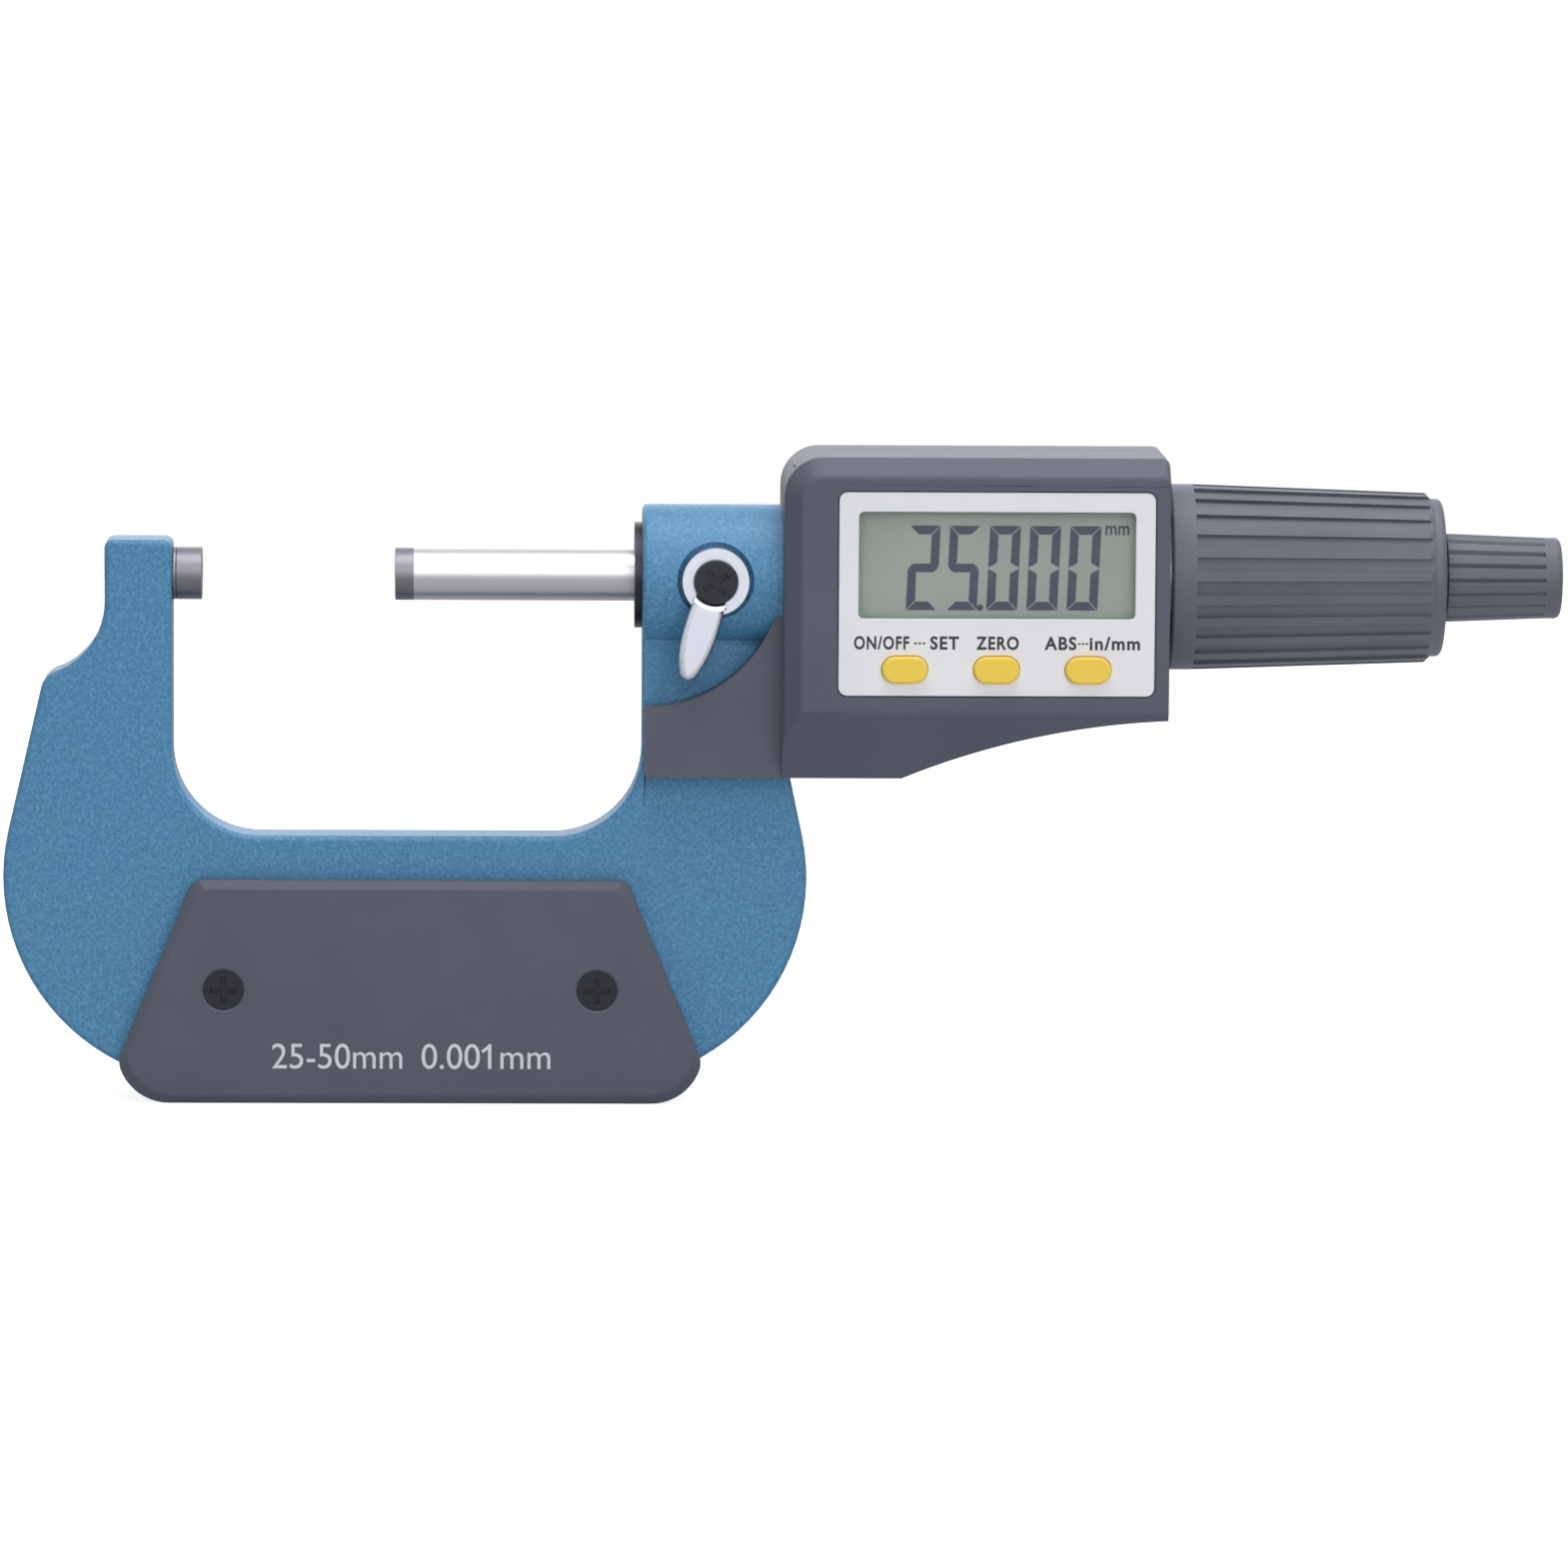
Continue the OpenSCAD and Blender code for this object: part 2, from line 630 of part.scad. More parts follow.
module front_shell() {
    color([0.34, 0.36, 0.41]) difference() {
        union() {
            difference() {
                scale([1, -1, 1]) shell_form(-parting, front_depth, bevel_w, bevel_d, skirt_set);
                box([cavity_x0, cavity_x1], [wall_y, parting + eps], [cavity_floor, cavity_top]);
                slab(-front_depth / 2 + 0.5, parting + eps) polygon(belly_pocket());
            }
            slab(-foot_y, -half_t) polygon(foot_outline());
            for (i = [0, 1]) box([i == 0 ? cavity_x0 - eps : cavity_x1 - block_x,
                i == 0 ? cavity_x0 + block_x : cavity_x1 + eps],
                [board_back + 0.3, parting], [cavity_top - 4.5, cavity_top + eps]);
            post(cover_points[2], -front_depth / 2, parting, 2.2);
        }
        bar(throat_x1, boss_x1 + 0.1, boss_r + loose);
        bar(cavity_x1 - eps, housing_x1 + eps, sleeve_r + loose);
        side_pocket();
        slab(face_y - eps, recess_y) polygon(round_rect([bezel_mid, bezel_z], bezel_w + 0.3,
            bezel_h + 0.3, 1.25));
        slab(recess_y - eps, wall_y + eps) polygon(round_rect([bezel_mid, window_z],
            window_w + 2 * lens_edge + 0.1, window_h + 2 * lens_edge + 0.1, 0.8));
        for (m = [-1:1]) slab(recess_y - eps, wall_y + eps)
            polygon(obround([bezel_mid + m * button_pitch, button_z], button_w + 0.2, button_h + 0.2));
        for (p = cover_points) post(p, -4, parting + eps, hole_r);
        for (p = foot_points) post(p, -foot_y + 1.4, 0, hole_r);
    }
}

module rear_cover() {
    color([0.34, 0.36, 0.41]) difference() {
        union() {
            difference() {
                shell_form(rear_y0, rear_depth, 1.6, 1.6, 2.6);
                box([cavity_x0, cavity_x1], [rear_y0 - eps, rear_inner], [cavity_floor, cavity_top]);
                slab(rear_y0 - eps, rear_inner - 1.6) polygon(belly_pocket());
            }
            slab(half_t, foot_y) polygon(foot_outline());
            for (p = cover_points) post(p, rear_y0, rear_inner + eps, 2.2);
            post(cell, cup_floor - 0.5, rear_depth - 0.2, cup_r);
        }
        bar(throat_x1, boss_x1 + 0.1, boss_r + loose);
        bar(cavity_x1 - eps, housing_x1 + eps, sleeve_r + loose);
        side_pocket();
        for (p = cover_points) {
            post(p, rear_y0 - eps, rear_depth, screw_r + loose);
            post(p, rear_depth - 3, rear_depth + eps, small_head_r + loose);
        }
        for (p = foot_points) {
            post(p, half_t - eps, foot_y, screw_r + loose);
            post(p, foot_y - 1.4, foot_y + eps, small_head_r + loose);
        }
        post(cell, cup_floor, rear_depth, cup_bore);
        post(cell, seal_y, rear_depth + eps, cap_r + loose);
        box([cell[0] + cell_r - 1, cell[0] + cup_r + 1], [cup_floor, cup_floor + 3.2],
            [cell[1] - 1.6, cell[1] + 1.6]);
    }
}

module cover_gasket() {
    color([0.05, 0.05, 0.05]) difference() {
        slab(parting, rear_y0) difference() {
            polygon(upper_outline(0.3, bend_z - 0.5));
            translate([cavity_x0, bend_z - 2])
                square([cavity_x1 - cavity_x0, cavity_top - bend_z + 2]);
        }
        box([housing_x0 - 1, cavity_x0 + eps], [parting - eps, rear_y0 + eps],
            [bottom_z, boss_r + loose]);
        box([cavity_x1 - eps, housing_x1 + 1], [parting - eps, rear_y0 + eps],
            [-sleeve_r - loose, sleeve_r + loose]);
    }
}

module cover_screws() {
    color([0.45, 0.45, 0.47]) {
        for (p = cover_points) difference() {
            union() {
                post(p, -3.8, rear_depth - 3, screw_r);
                post(p, rear_depth - 3, rear_depth - 1.6, small_head_r);
            }
            cross(p, rear_depth - 1.6, small_head_r);
        }
        for (p = foot_points) difference() {
            union() {
                post(p, -foot_y + 1.6, foot_y - 1.4, screw_r);
                post(p, foot_y - 1.4, foot_y - 0.1, small_head_r);
            }
            cross(p, foot_y - 0.1, small_head_r);
        }
    }
}

module bezel_plate() {
    color([0.9, 0.9, 0.92]) difference() {
        slab(recess_y - bezel_t, recess_y)
            polygon(round_rect([bezel_mid, bezel_z], bezel_w, bezel_h, 1.1));
        slab(face_y - 1, recess_y + 1)
            polygon(round_rect([bezel_mid, window_z], window_w, window_h, 0.7));
        for (m = [-1:1]) slab(face_y - 1, recess_y + 1)
            polygon(obround([bezel_mid + m * button_pitch, button_z], button_w + 0.14,
                button_h + 0.14));
    }
}

module display_lens() {
    color([0.85, 0.9, 0.9, 0.4]) slab(recess_y, wall_y)
        polygon(round_rect([bezel_mid, window_z], window_w + 2 * lens_edge,
            window_h + 2 * lens_edge, 0.75));
}

module lcd_module() {
    color([0.6, 0.63, 0.58]) box([bezel_mid - window_w / 2 - 1.2, bezel_mid + window_w / 2 + 1.2],
        [lcd_y, lcd_y + lcd_t], [window_z - window_h / 2 - 1, window_z + window_h / 2 + 1.6]);
}

module lcd_connector() {
    color([0.3, 0.3, 0.32]) box([bezel_mid - window_w / 2 + 3, bezel_mid + window_w / 2 - 3],
        [lcd_y + lcd_t, board_y], [window_z + window_h / 2 - 0.2, window_z + window_h / 2 + 1.3]);
}

// Screws of the circuit board, in the chassis walls
function board_points() = [[boss_x1 + 2.2, chassis_top - 2], [boss_x1 + 2.2, chassis_floor + 1.5],
    [chassis_x1 - 2, chassis_top - 1.4]];

module circuit_board() {
    color([0.1, 0.35, 0.2]) difference() {
        box([board_x0, board_x1], [board_y, board_back], [board_bottom, board_top]);
        for (p = board_points()) post(p, board_y - eps, board_back + eps, screw_r + loose);
    }
}

module board_screws() {
    color([0.55, 0.55, 0.57]) for (p = board_points()) {
        post(p, board_y, board_back + 2.4, screw_r);
        post(p, board_y - 0.6, board_y, 1.5);
    }
}

module keypad_membrane() {
    color([0.3, 0.3, 0.3]) slab(button_end + button_travel + loose,
        button_end + button_travel + loose + membrane_t)
        polygon(round_rect([bezel_mid, button_z - 0.1], 2 * button_pitch + 8.6, 5, 1));
}

module key_domes() {
    color([0.8, 0.8, 0.8]) for (m = [-1:1])
        post([bezel_mid + m * button_pitch, button_z], board_y - dome_t, board_y, 2);
}

module battery() {
    color([0.8, 0.8, 0.8]) post(cell, cell_y, cell_back, cell_r);
}

module cell_contact() {
    color([0.8, 0.7, 0.4]) post(cell, cell_y - 0.25, cell_y, cell_r - 1);
}

module side_contact() {
    color([0.8, 0.7, 0.4]) box([cell[0] + cell_r + 0.02, cell[0] + cell_r + 0.28],
        [cup_floor + 0.4, cup_floor + 3], [cell[1] - 1.2, cell[1] + 1.2]);
}

module battery_cap_seal() {
    color([0.1, 0.1, 0.1]) difference() {
        post(cell, seal_y, seal_y + 0.5, cap_r);
        post(cell, seal_y - eps, seal_y + 1, cup_bore + 0.05);
    }
}

module battery_cap() {
    color([0.3, 0.32, 0.36]) difference() {
        post(cell, seal_y + 0.55, rear_depth + 0.3, cap_r);
        post(cell, seal_y, cell_back + 0.1, cup_bore + 0.05);
        box([cell[0] - 4.5, cell[0] + 4.5], [rear_depth - 0.5, rear_depth + 1],
            [cell[1] - 0.75, cell[1] + 0.75]);
    }
}

module at_lock() {
    translate([lock_axis, 0, 0]) rotate([0, lock_angle, 0]) children();
}

module lock_lever() {
    color([0.8, 0.81, 0.83]) at_lock() difference() {
        union() {
            post([0, 0], lock_top, lock_hub_y, lock_r);
            slab(lever_front, lever_back) polygon(blade());
        }
        post([0, 0], lever_front - 1, lock_seat, lock_head_r + loose);
        post([0, 0], lever_front, 0, screw_r + 0.05);
    }
}

module lock_stem() {
    color([0.5, 0.5, 0.52]) at_lock() difference() {
        post([0, 0], lock_hub_y, shoe_y - shoe_t - 0.05, stem_r);
        post([0, 0], lock_hub_y - eps, lock_hub_y + 1.6, screw_r + 0.05);
    }
}

module lock_screw() {
    color([0.08, 0.08, 0.09]) at_lock() difference() {
        union() {
            post([0, 0], lock_seat, lock_hub_y + 1.4, screw_r);
            post([0, 0], lock_seat - 1.5, lock_seat, lock_head_r);
        }
        rotate([0, 40, 0]) cross([0, 0], lock_seat - 1.5, lock_head_r);
    }
}

module encoder_rotor() {
    color([0.85, 0.85, 0.8]) difference() {
        union() {
            bar(rotor_x0, rotor_x0 + hub_len, hub_r);
            bar(rotor_x0 + hub_len, disc_x1, disc_r);
        }
        bar(rotor_x0 - eps, disc_x1 + eps, spindle_r + run);
        box([rotor_x0 - eps, key_x0 + key_len + 0.1], [0, spindle_r + 1.1],
            [-key_w / 2 - fit, key_w / 2 + fit]);
    }
}

module rotor_key() {
    color([0.6, 0.6, 0.62]) box([key_x0, key_x0 + key_len],
        [spindle_r - keyway_depth + 0.1, spindle_r + 1.05], [-key_w / 2, key_w / 2]);
}

module spindle() {
    color([0.75, 0.75, 0.77]) difference() {
        union() {
            bar(range_start + spindle_tip_len, thread_x0, spindle_r);
            bar(thread_x0, thread_x1, thread_r);
            bar(thread_x1, core_x1 + 0.2, stub_r);
        }
        box([keyway_x0, key_x0 + key_len + 0.8], [spindle_r - keyway_depth, spindle_r + 1],
            [-key_w / 2 - 0.05, key_w / 2 + 0.05]);
        bar(thread_x1 - 6, core_x1 + 1, shaft_r + fit);
    }
}

module spindle_tip() {
    color([0.48, 0.48, 0.5]) bar(range_start, range_start + spindle_tip_len, spindle_r);
}

module thimble_core() {
    color([0.78, 0.78, 0.8]) difference() {
        bar(thimble_x0 + 0.5, core_x1, core_r);
        bar(thimble_x0, thread_x1 + 0.1, core_r - core_wall);
        bar(thread_x1, core_x1 + eps, stub_r + fit);
    }
}

// The thimble's outer form, turned about the axis
module thimble_form() {
    rotate([0, 90, 0]) rotate_extrude($fn = 96) polygon(concat(
        [[0, thimble_x0], [thimble_r - 0.3, thimble_x0], [thimble_r, thimble_x0 + 0.3],
         [thimble_r, rib_x0], [thimble_end_r, rib_x1 - 0.8], [thimble_end_r - 0.75, rib_x1]],
        arc([thimble_end_r - 1.55, thimble_x1 - 0.8], 0.8, 0, 90, 5),
        [[0, thimble_x1]]));
}

module thimble() {
    color([0.44, 0.45, 0.49]) difference() {
        thimble_form();
        bar(thimble_x0 - eps, core_x1 + 0.05, core_r + 0.05);
        bar(core_x1 - eps, thimble_x1 + eps, shaft_flange_r + 0.2);
        for (i = [0:rib_count - 1]) rotate([pocket_turn + pocket_angle * i, 0, 0])
            translate([rib_x0, 0, 0]) rotate([0, 0, rib_slope])
                translate([0, -thimble_r - 2 + 0.03, -pocket_w / 2])
                    cube([rib_x1 - rib_x0 + 2, 2 + pocket_depth, pocket_w]);
    }
}

module ratchet_shaft() {
    color([0.7, 0.7, 0.72]) union() {
        bar(thread_x1 - 4.8, knob_web1 + 0.6, shaft_r);
        bar(core_x1 + 0.2, driver_x0 - 1.1, shaft_flange_r);
    }
}

module ratchet_driver() {
    color([0.6, 0.6, 0.62]) difference() {
        ring_x(driver_x0, driver_x0 + driver_t, driver_r, shaft_r + fit);
        for (a = [0:30:150]) rotate([a, 0, 0])
            box([driver_x0 + driver_t - 0.4, driver_x0 + 3], [-6, 6], [-0.3, 0.3]);
    }
}

module ratchet_screw() {
    color([0.5, 0.5, 0.52]) difference() {
        bar(knob_web1 + 0.6, knob_web1 + 2.2, 2.4);
        for (a = [0, 90]) rotate([a, 0, 0])
            box([knob_web1 + 1.6, knob_web1 + 3], [-1.6, 1.6], [-0.3, 0.3]);
    }
}

module ratchet_knob() {
    color([0.4, 0.41, 0.45]) difference() {
        rotate([0, 90, 0]) rotate_extrude() polygon(concat(
            [[0, knob_x0], [knob_r, knob_x0], [knob_end_r + 0.05, knob_x1 - 2.2]],
            arc([knob_end_r - 0.75, knob_x1 - 0.8], 0.8, 0, 90, 5),
            [[0, knob_x1]]));
        bar(knob_x0 - eps, knob_web0, knob_bore);
        bar(knob_x0, knob_x1, shaft_r + 0.06);
        bar(knob_web1, knob_x1 + eps, 2.8);
        for (i = [0:groove_count - 1]) rotate([360 / groove_count * i - 0.3, 0, 0])
            translate([knob_x0, -knob_r, 0]) rotate([0, 0, knob_slope]) rotate([45, 0, 0])
                translate([-1, -0.3, -0.3]) cube([knob_len - 1.2, 0.6, 0.6]);
    }
}

module ratchet_pawl() {
    color([0.8, 0.7, 0.45]) ring_x(pawl_x0, pawl_x0 + pawl_t, driver_r + 0.05, shaft_r + 0.06);
}

module ratchet_spring() {
    color([0.7, 0.7, 0.72])
        ring_x(pawl_x0 + pawl_t + 0.02, knob_web0 - 0.02, driver_r - 0.5, driver_r - 1.1);
}

module button(m) {
    at = [bezel_mid + m * button_pitch, button_z];
    color([0.99, 0.84, 0.38]) union() {
        slab(button_top, lcd_y) polygon(obround(at, button_w, button_h));
        slab(lcd_y, lcd_y + flange_t) polygon(obround(at, button_w + 1.3, button_h + 1.2));
        slab(lcd_y + flange_t, button_end) polygon(obround(at, 3, 2));
    }
}

module on_off_button() {
    button(-1);
}

module zero_button() {
    button(0);
}

module unit_button() {
    button(1);
}

frame();
anvil();
anvil_tip();
front_grip_plate();
rear_grip_plate();
front_plate_screws();
rear_plate_screws();
spindle_bush();
lock_shoe();
encoder_chassis();
chassis_screws();
encoder_stator();
stem_sleeve();
lead_nut();
adjusting_nut();
front_shell();
rear_cover();
cover_gasket();
cover_screws();
bezel_plate();
display_lens();
lcd_module();
lcd_connector();
circuit_board();
board_screws();
keypad_membrane();
key_domes();
battery();
cell_contact();
side_contact();
battery_cap_seal();
battery_cap();
lock_lever();
lock_stem();
lock_screw();
encoder_rotor();
rotor_key();
spindle();
spindle_tip();
thimble_core();
thimble();
ratchet_shaft();
ratchet_driver();
ratchet_screw();
ratchet_knob();
ratchet_pawl();
ratchet_spring();
on_off_button();
zero_button();
unit_button();
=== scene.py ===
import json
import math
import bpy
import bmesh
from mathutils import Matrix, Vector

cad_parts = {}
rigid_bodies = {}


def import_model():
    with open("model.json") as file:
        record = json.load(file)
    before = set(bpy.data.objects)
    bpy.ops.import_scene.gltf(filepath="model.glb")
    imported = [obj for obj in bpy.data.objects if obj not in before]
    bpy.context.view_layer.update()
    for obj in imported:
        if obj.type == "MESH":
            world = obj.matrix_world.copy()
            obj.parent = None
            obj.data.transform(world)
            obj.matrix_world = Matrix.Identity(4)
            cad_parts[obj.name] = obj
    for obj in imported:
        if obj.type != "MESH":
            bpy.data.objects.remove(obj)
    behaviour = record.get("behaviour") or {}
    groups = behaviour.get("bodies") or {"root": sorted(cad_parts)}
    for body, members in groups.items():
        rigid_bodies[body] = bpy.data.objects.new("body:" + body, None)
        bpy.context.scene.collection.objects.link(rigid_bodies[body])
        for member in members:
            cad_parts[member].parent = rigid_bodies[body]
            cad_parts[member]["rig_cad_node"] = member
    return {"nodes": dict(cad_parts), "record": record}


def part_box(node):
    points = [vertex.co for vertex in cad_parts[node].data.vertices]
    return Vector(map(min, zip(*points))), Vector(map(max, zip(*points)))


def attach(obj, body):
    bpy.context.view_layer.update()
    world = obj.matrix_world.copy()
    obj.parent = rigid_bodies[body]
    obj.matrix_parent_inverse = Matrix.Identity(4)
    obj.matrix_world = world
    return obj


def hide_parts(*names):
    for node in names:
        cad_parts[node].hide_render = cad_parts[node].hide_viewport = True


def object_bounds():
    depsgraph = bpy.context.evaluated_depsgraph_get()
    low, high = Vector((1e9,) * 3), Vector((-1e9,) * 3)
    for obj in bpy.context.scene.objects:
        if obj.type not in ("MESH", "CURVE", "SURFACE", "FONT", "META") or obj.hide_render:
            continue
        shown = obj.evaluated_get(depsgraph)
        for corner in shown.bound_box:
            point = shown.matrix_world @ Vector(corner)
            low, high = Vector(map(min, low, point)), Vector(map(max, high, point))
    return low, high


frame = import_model()

# %% [markdown]
# # A digital outside micrometer
# The measured solids are already in place, in metres. X runs along the measuring axis, Z is up
# and the display looks towards -Y. What follows gives each piece its rounded edges, its fine
# detail and its finish. Most pieces start as a copy of their own solid, so that every size
# stays true, and the copy is then worked on as by hand.

MM = 0.001
cad_low, cad_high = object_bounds()
node_body = {n: b for b, ns in frame["record"]["behaviour"]["bodies"].items() for n in ns}
node_slot = {s["node"]: s["material_slot"] for s in frame["record"]["subparts"]}
print("solids span", [round(v / MM, 2) for v in cad_high - cad_low], "mm")

# %% [markdown]
# ## Selecting and copying
# Every operator works on what is selected, so each step starts with nothing selected. A copy of
# a solid arrives as loose triangles. Merging its doubles and dissolving its flat parts gives the
# clean faces that a bevel needs.

# %% Helpers for objects
def only(obj):
    bpy.ops.object.select_all(action="DESELECT")
    obj.select_set(True)
    bpy.context.view_layer.objects.active = obj


def named(name):
    obj = bpy.context.active_object
    obj.name = name
    obj.data.name = name
    return obj


def place(obj):
    only(obj)
    bpy.ops.object.transform_apply(location=True, rotation=True, scale=True)


def on_body(obj, node):
    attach(obj, node_body[node])


def copy_of(node, name):
    only(frame["nodes"][node])
    bpy.ops.object.duplicate()
    obj = named(name)
    obj.parent = None
    del obj["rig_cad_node"]
    bpy.ops.object.mode_set(mode="EDIT")
    bpy.ops.mesh.select_all(action="SELECT")
    bpy.ops.mesh.remove_doubles(threshold=0.000002)
    bpy.ops.mesh.dissolve_limited(angle_limit=math.radians(0.4))
    bpy.ops.object.mode_set(mode="OBJECT")
    on_body(obj, node)
    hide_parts(node)
    return obj


# %% [markdown]
# ## Rounding edges
# Real castings and mouldings have no sharp edge, and the thin line of light along a rounded edge
# shows how a piece was made. A bevel modifier could round every edge alike. Here the edges are
# picked by their angle and place and bevelled in edit mode, so that each one gets its own width.

# %% Helpers for edges
def select_edges(obj, wanted, sharp=20):
    only(obj)
    bpy.ops.object.mode_set(mode="EDIT")
    bpy.ops.mesh.select_mode(type="EDGE")
    bpy.ops.mesh.select_all(action="DESELECT")
    mesh = bmesh.from_edit_mesh(obj.data)
    count = 0
    for edge in mesh.edges:
        angle = edge.calc_face_angle(0)
        a, b = edge.verts[0].co / MM, edge.verts[1].co / MM
        if math.degrees(angle) > sharp and wanted(a, b):
            edge.select_set(True)
            count += 1
    bmesh.update_edit_mesh(obj.data)
    return count


def round_edges(obj, width, wanted=lambda a, b: True, segments=3, sharp=20, clamp=True):
    count = select_edges(obj, wanted, sharp)
    if count:
        bpy.ops.mesh.bevel(offset=width * MM, segments=segments, profile=0.5, clamp_overlap=clamp)
    bpy.ops.object.mode_set(mode="OBJECT")
    print(obj.name, "rounded", count, "edges by", width, "mm")


def smooth(obj, angle=38):
    only(obj)
    bpy.ops.object.shade_smooth_by_angle(angle=math.radians(angle))
    modifier = obj.modifiers.new("even_shading", "WEIGHTED_NORMAL")
    modifier.keep_sharp = True
    bpy.ops.object.modifier_apply(modifier=modifier.name)


# %% [markdown]
# ## True normals on a round surface
# A cylinder that other shapes cut into has long thin faces, and averaged normals show on them as
# dark streaks. The true normal of a cylinder is known, so it is written to the face corners.

# %% A helper that gives a turned surface its true normals
ON_SURFACE, FACING_OUT = 0.05, 0.95


def true_round(obj, radius, x0, x1):
    mesh = obj.data
    normals = [tuple(n.vector) for n in mesh.corner_normals]
    count = 0
    for face in mesh.polygons:
        for loop in face.loop_indices:
            at = mesh.vertices[mesh.loops[loop].vertex_index].co / MM
            if x0 < at.x < x1 and abs(math.hypot(at.y, at.z) - radius) < ON_SURFACE:
                out = Vector((0, at.y, at.z)).normalized()
                if face.normal.dot(out) > FACING_OUT:
                    normals[loop] = tuple(out)
                    count += 1
    mesh.normals_split_custom_set(normals)
    print(obj.name, "corners made round", count)


# %% [markdown]
# ## Camera
# The instrument is seen from the front with a long lens, a little from above and from the left,
# and it hangs a hair clockwise in the view. The view's centre is near the housing's left edge.

# %% The camera
VIEW_CENTRE = Vector((75.58, 0, -27.27)) * MM
VIEW_LEFT, VIEW_UP, VIEW_ROLL = math.radians(1.5), math.radians(6.4), math.radians(0.35)
VIEW_DISTANCE = 1235.4 * MM
back = Vector((-math.sin(VIEW_LEFT) * math.cos(VIEW_UP), -math.cos(VIEW_LEFT) * math.cos(VIEW_UP),
               math.sin(VIEW_UP)))
bpy.ops.object.camera_add(location=VIEW_CENTRE + back * VIEW_DISTANCE)
camera = bpy.context.active_object
camera.rotation_mode = "QUATERNION"
turn = (-back).to_track_quat("-Z", "Y")
camera.rotation_quaternion = turn @ Matrix.Rotation(VIEW_ROLL, 4, "Z").to_quaternion()
camera.data.lens = 218
camera.data.sensor_width = 36
camera.data.clip_start = 0.05
camera.data.clip_end = 50
bpy.context.scene.camera = camera
print("camera at", [round(v, 3) for v in camera.location])

# %% [markdown]
# ## Light
# Soft light from above is the strongest on the object, because its lamp is the nearest, so tops
# are pale and fronts are at a middle level. Weaker sheets fill the front and the back. The world
# is dim on the object, and white for the camera, in reflections and through glass.

# %% Colours and lamps
def srgb(r, g, b):
    def linear(c):
        c = c / 255
        return c / 12.92 if c <= 0.04045 else ((c + 0.055) / 1.055) ** 2.4
    return (linear(r), linear(g), linear(b), 1.0)


def area(name, at, aim, size, size_y, power):
    bpy.ops.object.light_add(type="AREA", location=at)
    lamp = bpy.context.active_object
    lamp.name = name
    lamp.data.shape = "RECTANGLE"
    lamp.data.size, lamp.data.size_y, lamp.data.energy = size, size_y, power
    lamp.rotation_mode = "QUATERNION"
    lamp.rotation_quaternion = (Vector(aim) - Vector(at)).to_track_quat("-Z", "Y")


centre = (cad_low + cad_high) / 2
LAMPS = {"top_softbox": ((0.08, -0.10, 0.62), 0.9, 0.5, 4.4),
         "front_fill": ((0.25, -1.05, 0.42), 1.0, 0.7, 4.6),
         "back_fill": ((-0.2, 1.1, 0.45), 1.0, 0.7, 2.2)}
for name, ((along, across, up), size, size_y, power) in LAMPS.items():
    area(name, (centre.x + along, across, up), centre, size, size_y, power)
print("lamps", list(LAMPS))

# %% The world
AMBIENT = 0.06
world = bpy.context.scene.world or bpy.data.worlds.new("studio")
bpy.context.scene.world = world
world.use_nodes = True
tree = world.node_tree
tree.nodes.clear()
sky_out = tree.nodes.new("ShaderNodeOutputWorld")
ambient = tree.nodes.new("ShaderNodeBackground")
ambient.inputs["Color"].default_value = (1, 1, 1, 1)
ambient.inputs["Strength"].default_value = AMBIENT
white = tree.nodes.new("ShaderNodeBackground")
white.inputs["Color"].default_value = (1, 1, 1, 1)
white.inputs["Strength"].default_value = 1.0
path = tree.nodes.new("ShaderNodeLightPath")
camera_or_glass = tree.nodes.new("ShaderNodeMath")
camera_or_glass.operation = "MAXIMUM"
or_mirror = tree.nodes.new("ShaderNodeMath")
or_mirror.operation = "MAXIMUM"
seen = tree.nodes.new("ShaderNodeMixShader")
tree.links.new(path.outputs["Is Camera Ray"], camera_or_glass.inputs[0])
tree.links.new(path.outputs["Is Transmission Ray"], camera_or_glass.inputs[1])
tree.links.new(camera_or_glass.outputs[0], or_mirror.inputs[0])
tree.links.new(path.outputs["Is Glossy Ray"], or_mirror.inputs[1])
tree.links.new(or_mirror.outputs[0], seen.inputs[0])
tree.links.new(ambient.outputs[0], seen.inputs[1])
tree.links.new(white.outputs[0], seen.inputs[2])
tree.links.new(seen.outputs[0], sky_out.inputs["Surface"])
print("world on the object", AMBIENT)

# %% [markdown]
# ## Materials
# The finishes are built from three small groups: one breaks up a colour with soft and fine
# speckle, one makes the fine grain of moulded plastic, and one makes the fine lines that turning
# and grinding leave on steel. They put out masks and heights, and the shader stays in the
# material.

# %% A helper that starts a group
def start_group(name, inputs, outputs):
    group = bpy.data.node_groups.new(name, "ShaderNodeTree")
    for label, value in inputs.items():
        socket = group.interface.new_socket(label, in_out="INPUT", socket_type="NodeSocketFloat")
        socket.default_value = value
    for label in outputs:
        group.interface.new_socket(label, in_out="OUTPUT", socket_type="NodeSocketFloat")
    return group, group.nodes.new("NodeGroupInput"), group.nodes.new("NodeGroupOutput")


def math_node(nodes, operation):
    node = nodes.new("ShaderNodeMath")
    node.operation = operation
    return node


